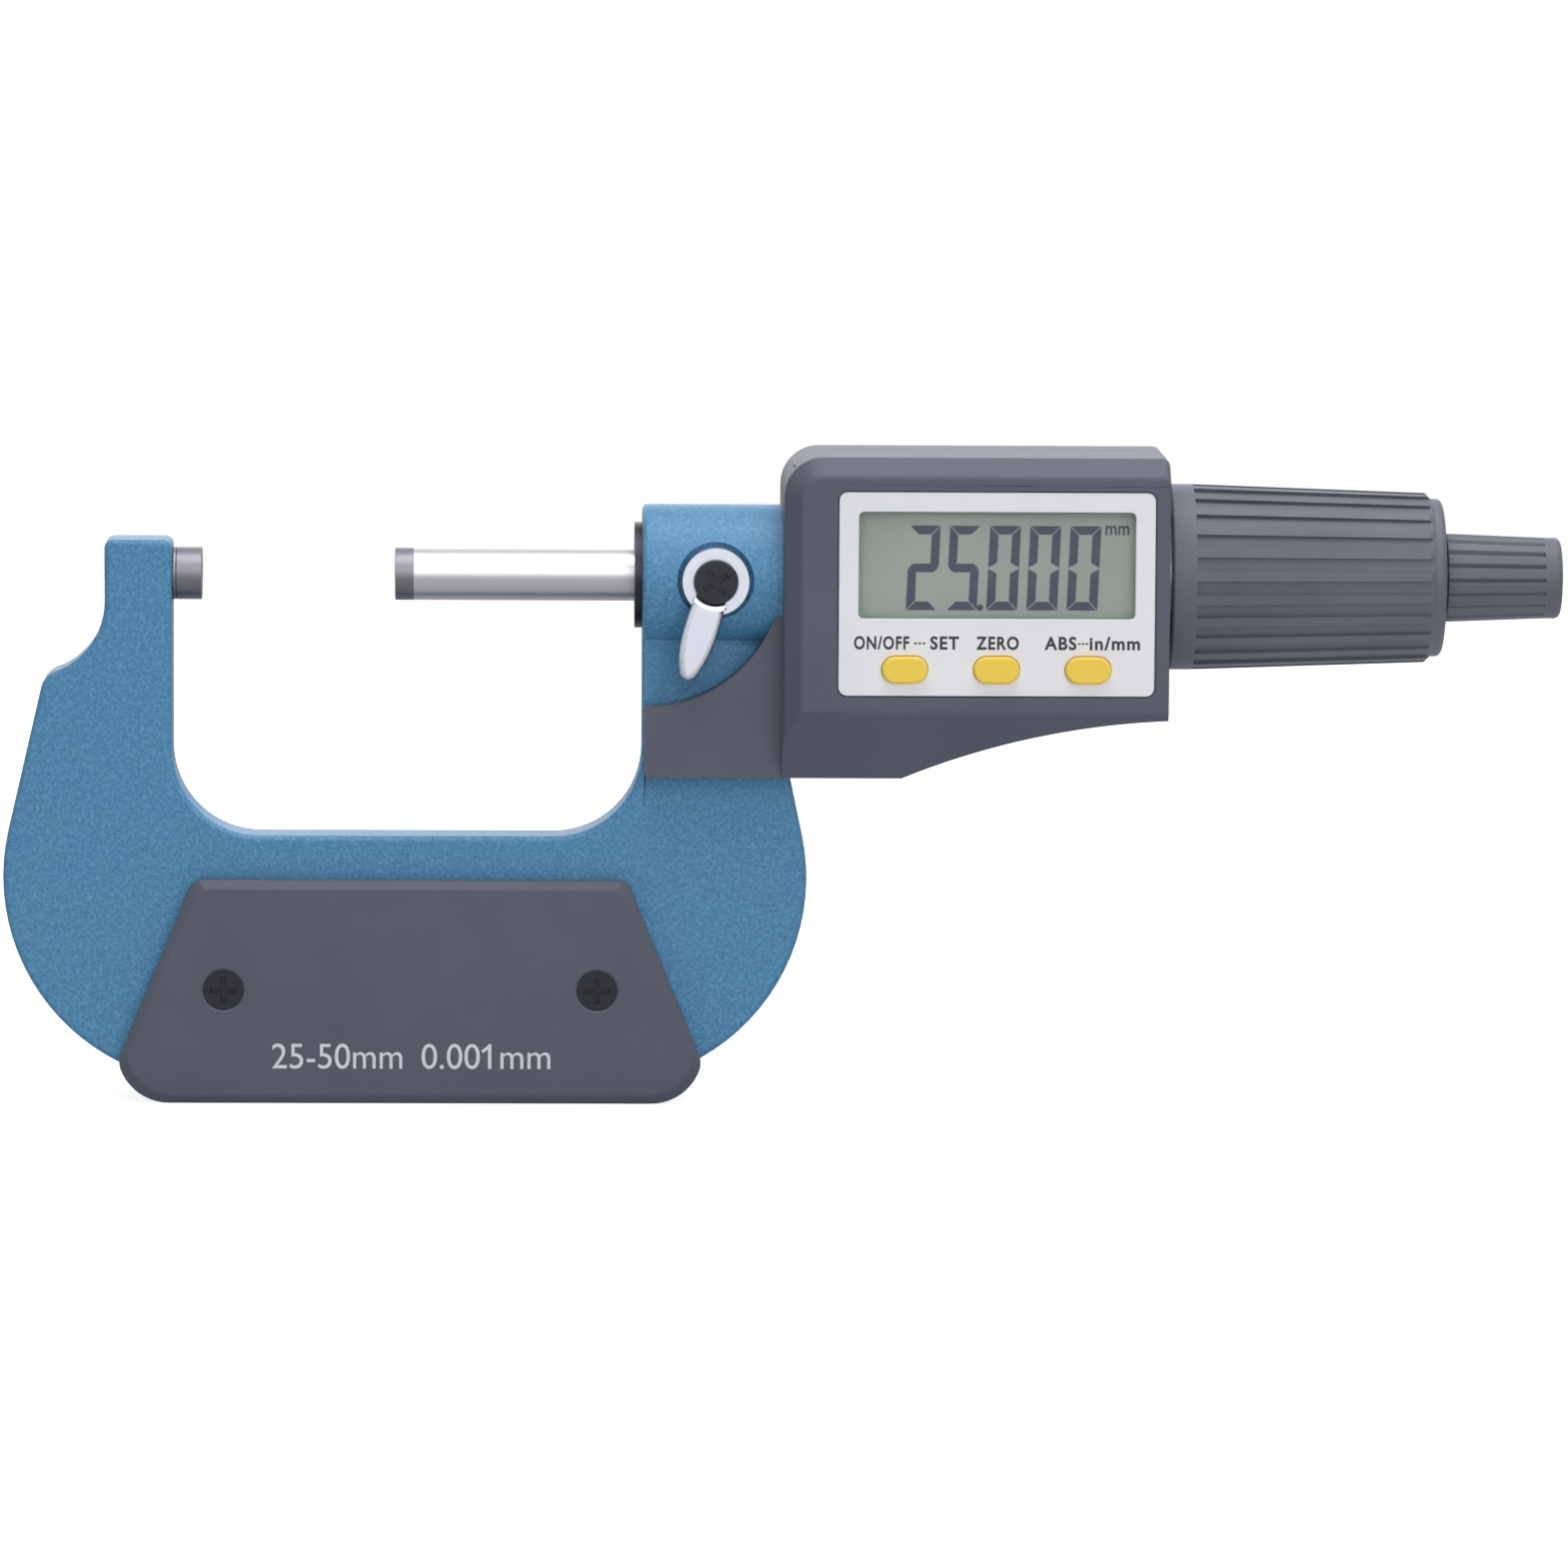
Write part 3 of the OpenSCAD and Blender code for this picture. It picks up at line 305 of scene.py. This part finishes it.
# %% Speckle: coarse drops and fine grains
def make_speckle():
    group, source, result = start_group("speckle", {"Drop Scale": 900.0, "Grain Scale": 4000.0,
                                                    "Drops": 0.6, "Grains": 0.4}, ["Mask"])
    nodes, link = group.nodes, group.links.new
    where = nodes.new("ShaderNodeTexCoord")
    drops, grains = nodes.new("ShaderNodeTexVoronoi"), nodes.new("ShaderNodeTexNoise")
    drops.feature = "SMOOTH_F1"
    grains.inputs["Detail"].default_value = 4
    for texture, label in ((drops, "Drop Scale"), (grains, "Grain Scale")):
        link(where.outputs["Object"], texture.inputs["Vector"])
        link(source.outputs[label], texture.inputs["Scale"])
    drop_part, grain_part = math_node(nodes, "MULTIPLY"), math_node(nodes, "MULTIPLY")
    link(drops.outputs["Distance"], drop_part.inputs[0])
    link(source.outputs["Drops"], drop_part.inputs[1])
    link(grains.outputs["Fac"], grain_part.inputs[0])
    link(source.outputs["Grains"], grain_part.inputs[1])
    total = math_node(nodes, "ADD")
    link(drop_part.outputs[0], total.inputs[0])
    link(grain_part.outputs[0], total.inputs[1])
    link(total.outputs[0], result.inputs["Mask"])
    return group


# %% Grain: the fine spark-eroded surface of moulded plastic
def make_grain():
    group, source, result = start_group("moulded_grain", {"Scale": 3500.0, "Cloud Scale": 60.0},
                                        ["Height", "Cloud"])
    nodes, link = group.nodes, group.links.new
    where = nodes.new("ShaderNodeTexCoord")
    fine, cloud = nodes.new("ShaderNodeTexNoise"), nodes.new("ShaderNodeTexNoise")
    fine.inputs["Detail"].default_value = 3
    cloud.inputs["Detail"].default_value = 2
    for texture, label in ((fine, "Scale"), (cloud, "Cloud Scale")):
        link(where.outputs["Object"], texture.inputs["Vector"])
        link(source.outputs[label], texture.inputs["Scale"])
    link(fine.outputs["Fac"], result.inputs["Height"])
    link(cloud.outputs["Fac"], result.inputs["Cloud"])
    return group


# %% Grinding: lines that run round a piece that was turned about X
def make_grinding():
    group, source, result = start_group("grinding", {"Along": 5000.0, "Across": 40.0}, ["Height"])
    nodes, link = group.nodes, group.links.new
    where = nodes.new("ShaderNodeTexCoord")
    stretch = nodes.new("ShaderNodeMapping")
    scales = nodes.new("ShaderNodeCombineXYZ")
    link(source.outputs["Along"], scales.inputs["X"])
    link(source.outputs["Across"], scales.inputs["Y"])
    link(source.outputs["Across"], scales.inputs["Z"])
    lines = nodes.new("ShaderNodeTexNoise")
    lines.inputs["Scale"].default_value = 1.0
    lines.inputs["Detail"].default_value = 3
    link(where.outputs["Object"], stretch.inputs["Vector"])
    link(scales.outputs[0], stretch.inputs["Scale"])
    link(stretch.outputs[0], lines.inputs["Vector"])
    link(lines.outputs["Fac"], result.inputs["Height"])
    return group


SPECKLE, GRAIN, GRINDING = make_speckle(), make_grain(), make_grinding()
print("groups", [g.name for g in bpy.data.node_groups])

# %% A helper that starts a material and one that adds a group to it
def start_material(name, base, roughness, metallic=0.0):
    material = bpy.data.materials.new(name)
    material.use_nodes = True
    shader = material.node_tree.nodes["Principled BSDF"]
    shader.inputs["Base Color"].default_value = base
    shader.inputs["Roughness"].default_value = roughness
    shader.inputs["Metallic"].default_value = metallic
    return material, shader


def use_group(material, group, **values):
    node = material.node_tree.nodes.new("ShaderNodeGroup")
    node.node_tree = group
    for label, value in values.items():
        node.inputs[label.replace("_", " ")].default_value = value
    return node


def tint(material, shader, mask, dark, light, low=0.0, high=1.0):
    ramp = material.node_tree.nodes.new("ShaderNodeValToRGB")
    ramp.color_ramp.elements[0].position = low
    ramp.color_ramp.elements[0].color = dark
    ramp.color_ramp.elements[1].position = high
    ramp.color_ramp.elements[1].color = light
    material.node_tree.links.new(mask, ramp.inputs["Fac"])
    material.node_tree.links.new(ramp.outputs["Color"], shader.inputs["Base Color"])


def bump(material, shader, height, strength, distance):
    node = material.node_tree.nodes.new("ShaderNodeBump")
    node.inputs["Strength"].default_value = strength
    node.inputs["Distance"].default_value = distance
    material.node_tree.links.new(height, node.inputs["Height"])
    material.node_tree.links.new(node.outputs["Normal"], shader.inputs["Normal"])


def vary_roughness(material, shader, mask, low, high):
    node = material.node_tree.nodes.new("ShaderNodeMapRange")
    node.inputs["To Min"].default_value = low
    node.inputs["To Max"].default_value = high
    material.node_tree.links.new(mask, node.inputs["Value"])
    material.node_tree.links.new(node.outputs["Result"], shader.inputs["Roughness"])


# %% [markdown]
# ## The finishes
# The frame wears a hammered blue enamel, the housing a fine-grained grey plastic, and the spindle
# ground steel. A finish could be one plain colour, but real ones vary. So a mask moves most
# colours a little, and fine texture drives the roughness and the bump.

# %% Blue hammered enamel
def blue_enamel():
    material, shader = start_material("blue_enamel", srgb(85, 130, 165), 0.42)
    speckle = use_group(material, SPECKLE, Drop_Scale=2600.0, Grain_Scale=5200.0, Drops=0.55,
                        Grains=0.6)
    tint(material, shader, speckle.outputs["Mask"], srgb(48, 115, 160), srgb(98, 157, 198), 0.3, 0.75)
    vary_roughness(material, shader, speckle.outputs["Mask"], 0.36, 0.52)
    bump(material, shader, speckle.outputs["Mask"], 0.22, 0.0002)
    shader.inputs["Specular IOR Level"].default_value = 0.45
    return material


# %% Grey moulded plastic
def moulded(name, dark, light, roughness, grain=3500.0, strength=0.12):
    material, shader = start_material(name, light, roughness)
    texture = use_group(material, GRAIN, Scale=grain, Cloud_Scale=70.0)
    tint(material, shader, texture.outputs["Cloud"], dark, light, 0.3, 0.7)
    vary_roughness(material, shader, texture.outputs["Height"], roughness - 0.06, roughness + 0.06)
    bump(material, shader, texture.outputs["Height"], strength, 0.0001)
    shader.inputs["Specular IOR Level"].default_value = 0.35
    return material


# %% Ground and plain metals
def metal(name, base, roughness, along=5000.0, across=40.0, strength=0.15):
    material, shader = start_material(name, base, roughness, 1.0)
    lines = use_group(material, GRINDING, Along=along, Across=across)
    vary_roughness(material, shader, lines.outputs["Height"], roughness - 0.07, roughness + 0.07)
    bump(material, shader, lines.outputs["Height"], strength, 0.00005)
    return material


# %% The list of finishes
finish = {
    "blue_paint": blue_enamel(),
    "grey_plastic": moulded("slate_plastic", srgb(86, 90, 103), srgb(91, 95, 109), 0.5),
    "thimble_plastic": moulded("thimble_plastic", srgb(98, 101, 112), srgb(106, 109, 120),
                               0.5, 2600.0, 0.2),
    "carbide": metal("ground_carbide", srgb(118, 118, 124), 0.42, 3000.0, 3000.0, 0.1),
    "black_steel": metal("black_oxide", srgb(54, 55, 60), 0.36),
    "brass": metal("brass", srgb(196, 160, 90), 0.35),
    "cast_alloy": metal("turned_alloy", srgb(188, 188, 192), 0.4),
    "plain_steel": metal("plain_steel", srgb(165, 165, 168), 0.35),
    "satin_steel": metal("ground_steel", srgb(186, 184, 188), 0.34, 9000.0, 60.0, 0.2),
    "satin_chrome": metal("satin_chrome", srgb(205, 209, 219), 0.36, 900.0, 900.0, 0.05),
    "board_green": moulded("solder_mask", srgb(22, 82, 48), srgb(28, 96, 58), 0.35),
    "rubber": moulded("black_rubber", srgb(24, 24, 26), srgb(32, 32, 34), 0.7),
    "silver_plate": moulded("silver_plate", srgb(241, 242, 249), srgb(246, 247, 253),
                            0.38, 6000.0, 0.04),
    "lcd_glass": moulded("lcd_glass", srgb(141, 154, 146), srgb(147, 160, 151),
                         0.3, 900.0, 0.01),
    "white_plastic": moulded("white_plastic", srgb(206, 206, 196), srgb(216, 216, 206), 0.5),
    "yellow_button": moulded("yellow_button", srgb(255, 214, 78), srgb(255, 221, 90),
                             0.4, 2600.0, 0.05),
}
glass, glass_shader = start_material("window_glass", (1, 1, 1, 1), 0.02)
glass_shader.inputs["Transmission Weight"].default_value = 1.0
glass_shader.inputs["IOR"].default_value = 1.2
finish["clear_lens"] = glass

# %% Every solid gets its finish
def dress(obj, slot_name):
    obj.data.materials.clear()
    obj.data.materials.append(finish[slot_name])


for node, obj in frame["nodes"].items():
    dress(obj, node_slot[node])
print("dressed", len(frame["nodes"]), "solids")

# %% [markdown]
# ## The frame casting
# The frame is a painted casting, so its outer edges aren't sharp. The edges between its flat
# sides and its rim all lie in the planes of the flat sides, so they are found by Y. The short
# edges round the holes for the screws lie there too, and they are left out.

# %% Round the casting
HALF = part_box("front_grip_plate")[1].y / MM
BOSS_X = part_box("spindle_bush")[0].x / MM + 1
BOSS_R, BOSS_LENGTH = 9.2, 25
PLATE_HOLES_Z, FOOT_HOLES_Z = (-56, -50), (-26, -16)
SAME_PLACE, SHORT = 0.02, 0.3
casting = copy_of("frame", "casting")


def on_rim(a, b):
    flat = abs(abs(a.y) - abs(HALF)) < SAME_PLACE and abs(a.y - b.y) < SAME_PLACE
    short = (a - b).length < SHORT
    plate_hole = short and PLATE_HOLES_Z[0] < a.z < PLATE_HOLES_Z[1]
    foot_hole = short and a.x > BOSS_X + 2 and FOOT_HOLES_Z[0] < a.z < FOOT_HOLES_Z[1]
    return flat and not plate_hole and not foot_hole


def on_boss_end(a, b):
    on_end = abs(a.x - BOSS_X) < SAME_PLACE and abs(b.x - BOSS_X) < SAME_PLACE
    return on_end and min(math.hypot(a.y, a.z), math.hypot(b.y, b.z)) > BOSS_R - 0.1


round_edges(casting, 0.7, lambda a, b: on_rim(a, b) or on_boss_end(a, b),
            segments=4, clamp=False)
smooth(casting)
true_round(casting, BOSS_R, BOSS_X - 0.5, BOSS_X + BOSS_LENGTH)
dress(casting, "blue_paint")

# %% [markdown]
# ## Moulded parts
# The shells, the grip plates and the bezel are moulded or pressed. Their outer edges catch a thin
# line of light because each has a small radius, so each copy is bevelled by a tenth to a third of
# a millimetre. On the front shell, the left and top edges of its face are the widest.

# %% Shells, plates and bezel
front = copy_of("front_shell", "front_shell_moulding")
FACE_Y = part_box("front_shell")[0].y / MM
LEFT_SIDE, TOP_SIDE, FACE_DEPTH = 79, 13, 3


def face_rim(a, b):
    outer = min(a.x, b.x) < LEFT_SIDE or min(a.z, b.z) > TOP_SIDE
    return outer and max(a.y, b.y) < FACE_Y + FACE_DEPTH


round_edges(front, 0.35, face_rim, sharp=22, clamp=False)
round_edges(front, 0.1, segments=2, sharp=40)
smooth(front)
rear = copy_of("rear_cover", "rear_cover_moulding")
round_edges(rear, 0.3, segments=2, sharp=22)
smooth(rear)
for node in ("front_grip_plate", "rear_grip_plate"):
    plate = copy_of(node, node + "_moulding")
    round_edges(plate, 0.25, sharp=15)
    smooth(plate, 50)
bezel = copy_of("bezel_plate", "bezel_pressing")
round_edges(bezel, 0.12, segments=2, sharp=40)
smooth(bezel)

# %% [markdown]
# ## Buttons
# Three keys stand a millimetre proud of the bezel. Only the edges of their tops are rounded,
# because their other edges lie inside the housing.

# %% Buttons
BUTTON_TOP = -14.5
for node in ("on_off_button", "zero_button", "unit_button"):
    button = copy_of(node, node + "_cap")
    round_edges(button, 0.35, lambda a, b: max(a.y, b.y) < BUTTON_TOP, segments=4, sharp=40)
    smooth(button)

# %% [markdown]
# ## Thimble and ratchet knob
# Both are moulded, with ribs or grooves for the fingers, which the solids have already. A small
# bevel on each gives the bright and dark lines that run along them. Edges that lie nearer the
# axis than the two radii below, such as those of the bores, stay sharp.

# %% Thimble and knob
THIMBLE_INSIDE, KNOB_INSIDE = 9.99, 3
thimble = copy_of("thimble", "thimble_moulding")
round_edges(thimble, 0.14, lambda a, b: math.hypot(a.y, a.z) > THIMBLE_INSIDE,
            segments=2, sharp=25)
smooth(thimble)
knob = copy_of("ratchet_knob", "knob_moulding")
round_edges(knob, 0.1, lambda a, b: math.hypot(a.y, a.z) > KNOB_INSIDE, segments=2, sharp=25)
smooth(knob)

# %% [markdown]
# ## Lock lever and small metal pieces
# The lever is a chromed casting with a hub round its screw and a blade for the thumb. Its front
# edges get a wide rounding, so that it looks cambered, and the edges a millimetre behind them a
# narrow one. The turned and ground pieces only have their sharp edges broken.

# %% Lock lever
lever = copy_of("lock_lever", "lever_casting")
LEVER_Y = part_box("lock_lever")[0].y / MM
STEP_LOW, STEP_HIGH = LEVER_Y + 0.9, LEVER_Y + 1.1
round_edges(lever, 0.8, lambda a, b: max(a.y, b.y) < LEVER_Y + 0.05,
            segments=6, sharp=30, clamp=False)
round_edges(lever, 0.3, lambda a, b: STEP_LOW < max(a.y, b.y) < STEP_HIGH,
            segments=4, sharp=50)
smooth(lever)

# %% Turned and ground pieces
for node in ("anvil_tip", "spindle_tip", "spindle_bush", "lock_screw", "front_plate_screws",
             "rear_plate_screws", "battery_cap", "anvil", "cover_screws"):
    piece = copy_of(node, node + "_machined")
    round_edges(piece, 0.1, segments=2, sharp=35)
    smooth(piece)

# %% [markdown]
# ## Lettering
# The bezel and the front plate are pad printed. Each word is a text object turned into a thin
# mesh that lies a hundredth of a millimetre in front of its surface, stretched to its printed
# length.

# %% A helper for printed words
IN_FRONT, INK_SCALE = 0.01, 0.0006


def ink(name, colour):
    material, shader = start_material(name, colour, 0.5)
    texture = use_group(material, GRAIN, Scale=5000.0, Cloud_Scale=900.0)
    vary_roughness(material, shader, texture.outputs["Height"], 0.45, 0.6)
    return material


black_ink = ink("black_ink", srgb(38, 40, 46))
white_ink = ink("white_ink", srgb(222, 226, 232))


def words(name, body, x0, x1, z0, height, y, material, node, spacing=1.0, weight=0.02):
    """Print a word that fills the width from x0 to x1 and stands on z0."""
    bpy.ops.object.text_add(location=(0, 0, 0))
    text = bpy.context.active_object
    text.data.body = body
    text.data.size = 1.0
    text.data.space_character = spacing
    text.data.extrude = 0.01
    text.data.offset = weight
    bpy.ops.object.convert(target="MESH")
    obj = named(name)
    low = [min(v.co[i] for v in obj.data.vertices) for i in (0, 1)]
    high = [max(v.co[i] for v in obj.data.vertices) for i in (0, 1)]
    across = (x1 - x0) * MM / (high[0] - low[0])
    up = height * MM / (high[1] - low[1])
    obj.rotation_euler = (math.radians(90), 0, 0)
    obj.scale = (across, up, INK_SCALE)
    obj.location = (x0 * MM - low[0] * across, y * MM, z0 * MM - low[1] * up)
    place(obj)
    obj.data.materials.append(material)
    on_body(obj, node)


# %% Words on the bezel
BEZEL_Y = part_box("bezel_plate")[0].y / MM - IN_FRONT
LABEL_Z, LABEL_HEIGHT, DOT_Z, DOT_HEIGHT = -8.3, 1.75, -7.6, 0.24
LABELS = {"label_on_off": ("ON/OFF", 84.1, 91.2), "label_set": ("SET", 93.9, 97.6),
          "label_zero": ("ZERO", 99.8, 105.3), "label_abs": ("ABS", 108.6, 112.7),
          "label_in_mm": ("in/mm", 114.4, 120.9)}
DOTS = {"label_dots_left": (91.8, 93.3), "label_dots_right": (112.9, 114.2)}
for name, (body, x0, x1) in LABELS.items():
    words(name, body, x0, x1, LABEL_Z, LABEL_HEIGHT, BEZEL_Y, black_ink, "bezel_plate", 1.15, 0.03)
for name, (x0, x1) in DOTS.items():
    words(name, "...", x0, x1, DOT_Z, DOT_HEIGHT, BEZEL_Y, black_ink, "bezel_plate")
print("words on the bezel", list(LABELS) + list(DOTS))

# %% Words on the front plate
PLATE_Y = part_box("front_grip_plate")[0].y / MM - IN_FRONT
PLATE_Z, PLATE_HEIGHT = -63.9, 3.3
PLATE_WORDS = {"plate_range": ("25-50mm", 9.2, 26.1), "plate_step": ("0.001mm", 28.6, 45.3)}
for name, (body, x0, x1) in PLATE_WORDS.items():
    words(name, body, x0, x1, PLATE_Z, PLATE_HEIGHT, PLATE_Y, white_ink, "front_grip_plate", 1.0, 0.0)
print("words on the plate", list(PLATE_WORDS))

# %% [markdown]
# ## The reading
# A liquid crystal digit is seven dark bars with mitred ends. One bar is a plane whose inner edge
# is drawn in. All bars are joined, and each point then moves sideways by its height, so that
# the digits lean a little to the right.

# %% One bar and one digit
LCD_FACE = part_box("lcd_module")[0].y / MM - 0.02
liquid, liquid_shader = start_material("lcd_ink", srgb(56, 68, 86), 0.4)
mottle = use_group(liquid, SPECKLE, Drop_Scale=2500.0, Grain_Scale=6000.0, Drops=0.3, Grains=0.7)
tint(liquid, liquid_shader, mottle.outputs["Mask"], srgb(42, 53, 72), srgb(62, 75, 95), 0.3, 0.8)
DIGIT_W, DIGIT_H, BAR = 3.98, 10.9, 1.12
BAR_GAP, SHORT_MITRE = 0.16, 0.55
BARS = {"top": (0, 1, 0), "upper_right": (1, 0.5, 90), "lower_right": (1, -0.5, 90),
        "bottom": (0, -1, 180), "lower_left": (-1, -0.5, 270), "upper_left": (-1, 0.5, 270)}
FIGURES = {"0": ["top", "upper_right", "lower_right", "bottom", "lower_left", "upper_left"],
           "2": ["top", "upper_right", "middle", "lower_left", "bottom"],
           "5": ["top", "upper_left", "middle", "lower_right", "bottom"]}


def bar(which, x, z):
    bpy.ops.mesh.primitive_plane_add(size=1, location=(0, 0, 0))
    obj = bpy.context.active_object
    flat = which in ("top", "middle", "bottom")
    side, level, angle = BARS.get(which, (0, 0, 0))
    obj.scale = ((DIGIT_W if flat else DIGIT_H / 2) - BAR_GAP, BAR, 1)
    place(obj)
    bpy.ops.object.mode_set(mode="EDIT")
    bpy.ops.mesh.select_all(action="SELECT")
    if which == "middle":
        bpy.ops.mesh.subdivide(number_cuts=1)
    bpy.ops.mesh.select_all(action="DESELECT")
    mesh = bmesh.from_edit_mesh(obj.data)
    for vertex in mesh.verts:
        if which == "middle" and abs(vertex.co.y) > BAR / 4:
            inward = BAR * SHORT_MITRE if abs(vertex.co.x) > 1 else 0
            vertex.co.x -= math.copysign(inward, vertex.co.x)
        elif which != "middle" and vertex.co.y < 0:
            inward = BAR if flat or vertex.co.x * side * level < 0 else BAR * SHORT_MITRE
            vertex.co.x -= math.copysign(inward, vertex.co.x)
    bmesh.update_edit_mesh(obj.data)
    bpy.ops.object.mode_set(mode="OBJECT")
    obj.rotation_euler = (0, 0, math.radians(-angle))
    place(obj)
    obj.rotation_euler = (math.radians(90), 0, 0)
    shift_z = level * (DIGIT_H - BAR) / 2 if flat else level * DIGIT_H / 2
    obj.location = (x + side * (DIGIT_W - BAR) / 2, LCD_FACE, z + shift_z)
    place(obj)
    return obj


# %% The figures 25.000
FIRST_DIGIT_X, DIGIT_PITCH, DIGIT_Z, LEAN = 93.0, 5.17, 2.1, 0.042
POINT_R, POINT_X, POINT_Z = 0.42, 100.55, -3.0
reading = []
for index, figure in enumerate("25000"):
    for which in FIGURES[figure]:
        reading.append(bar(which, FIRST_DIGIT_X + DIGIT_PITCH * index, DIGIT_Z))
bpy.ops.mesh.primitive_circle_add(vertices=20, radius=POINT_R, fill_type="NGON",
                                  rotation=(math.radians(90), 0, 0),
                                  location=(POINT_X, LCD_FACE, POINT_Z))
reading.append(bpy.context.active_object)
place(reading[-1])
bpy.ops.object.select_all(action="DESELECT")
for piece in reading:
    piece.select_set(True)
bpy.context.view_layer.objects.active = reading[0]
bpy.ops.object.join()
figures = named("display_figures")
for vertex in figures.data.vertices:
    vertex.co.x += LEAN * (vertex.co.z - DIGIT_Z)
figures.scale = (MM, MM, MM)
place(figures)
figures.data.materials.append(liquid)
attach(figures, "frame")
print("figures from", len(reading) - 1, "bars and a point")

# %% The flag that the font's figure 1 lacks, on the front plate
FLAG_LONG, FLAG_WIDE, FLAG_TURN = 1.25, 0.42, math.radians(-38)
FLAG_X, FLAG_Z, OVER_WORDS = 36.95, -61.25, 0.00001
bpy.ops.mesh.primitive_plane_add(size=1, location=(0, 0, 0))
flag = named("plate_figure_flag")
flag.scale = (FLAG_LONG * MM, FLAG_WIDE * MM, 1)
place(flag)
flag.rotation_euler = (math.radians(90), FLAG_TURN, 0)
flag.location = (FLAG_X * MM, PLATE_Y * MM - OVER_WORDS, FLAG_Z * MM)
place(flag)
flag.data.materials.append(white_ink)
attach(flag, "frame")
print("flag at", FLAG_X, FLAG_Z, "mm")

# %% The unit beside the figures
words("display_mm", "mm", 116.4, 119.5, 6.4, 1.25, LCD_FACE, liquid, "lcd_module")

# %% [markdown]
# ## Floor
# A wide pale floor lies a tenth of a millimetre under the grip plates, on which the instrument
# stands. It gets a glow for the camera alone, so that it turns white and keeps the soft shadow.

# %% The floor
FLOOR_SIZE, FLOOR_GAP, GLOW = 1.5, 0.0001, 0.86
bpy.ops.mesh.primitive_plane_add(size=FLOOR_SIZE, location=(centre.x, 0, cad_low.z - FLOOR_GAP))
floor = named("floor")
ground = bpy.data.materials.new("pale_floor")
ground.use_nodes = True
tree = ground.node_tree
tree.nodes.clear()
out = tree.nodes.new("ShaderNodeOutputMaterial")
matt = tree.nodes.new("ShaderNodeBsdfDiffuse")
matt.inputs["Color"].default_value = (0.8, 0.8, 0.8, 1)
lift = tree.nodes.new("ShaderNodeEmission")
lift.inputs["Strength"].default_value = GLOW
both = tree.nodes.new("ShaderNodeAddShader")
pick = tree.nodes.new("ShaderNodeMixShader")
rays = tree.nodes.new("ShaderNodeLightPath")
tree.links.new(matt.outputs[0], both.inputs[0])
tree.links.new(lift.outputs[0], both.inputs[1])
tree.links.new(rays.outputs["Is Camera Ray"], pick.inputs[0])
tree.links.new(matt.outputs[0], pick.inputs[1])
tree.links.new(both.outputs[0], pick.inputs[2])
tree.links.new(pick.outputs[0], out.inputs["Surface"])
floor.data.materials.append(ground)
print("floor", FLOOR_SIZE, "m wide")

# %% View settings
bpy.context.scene.view_settings.view_transform = "Standard"
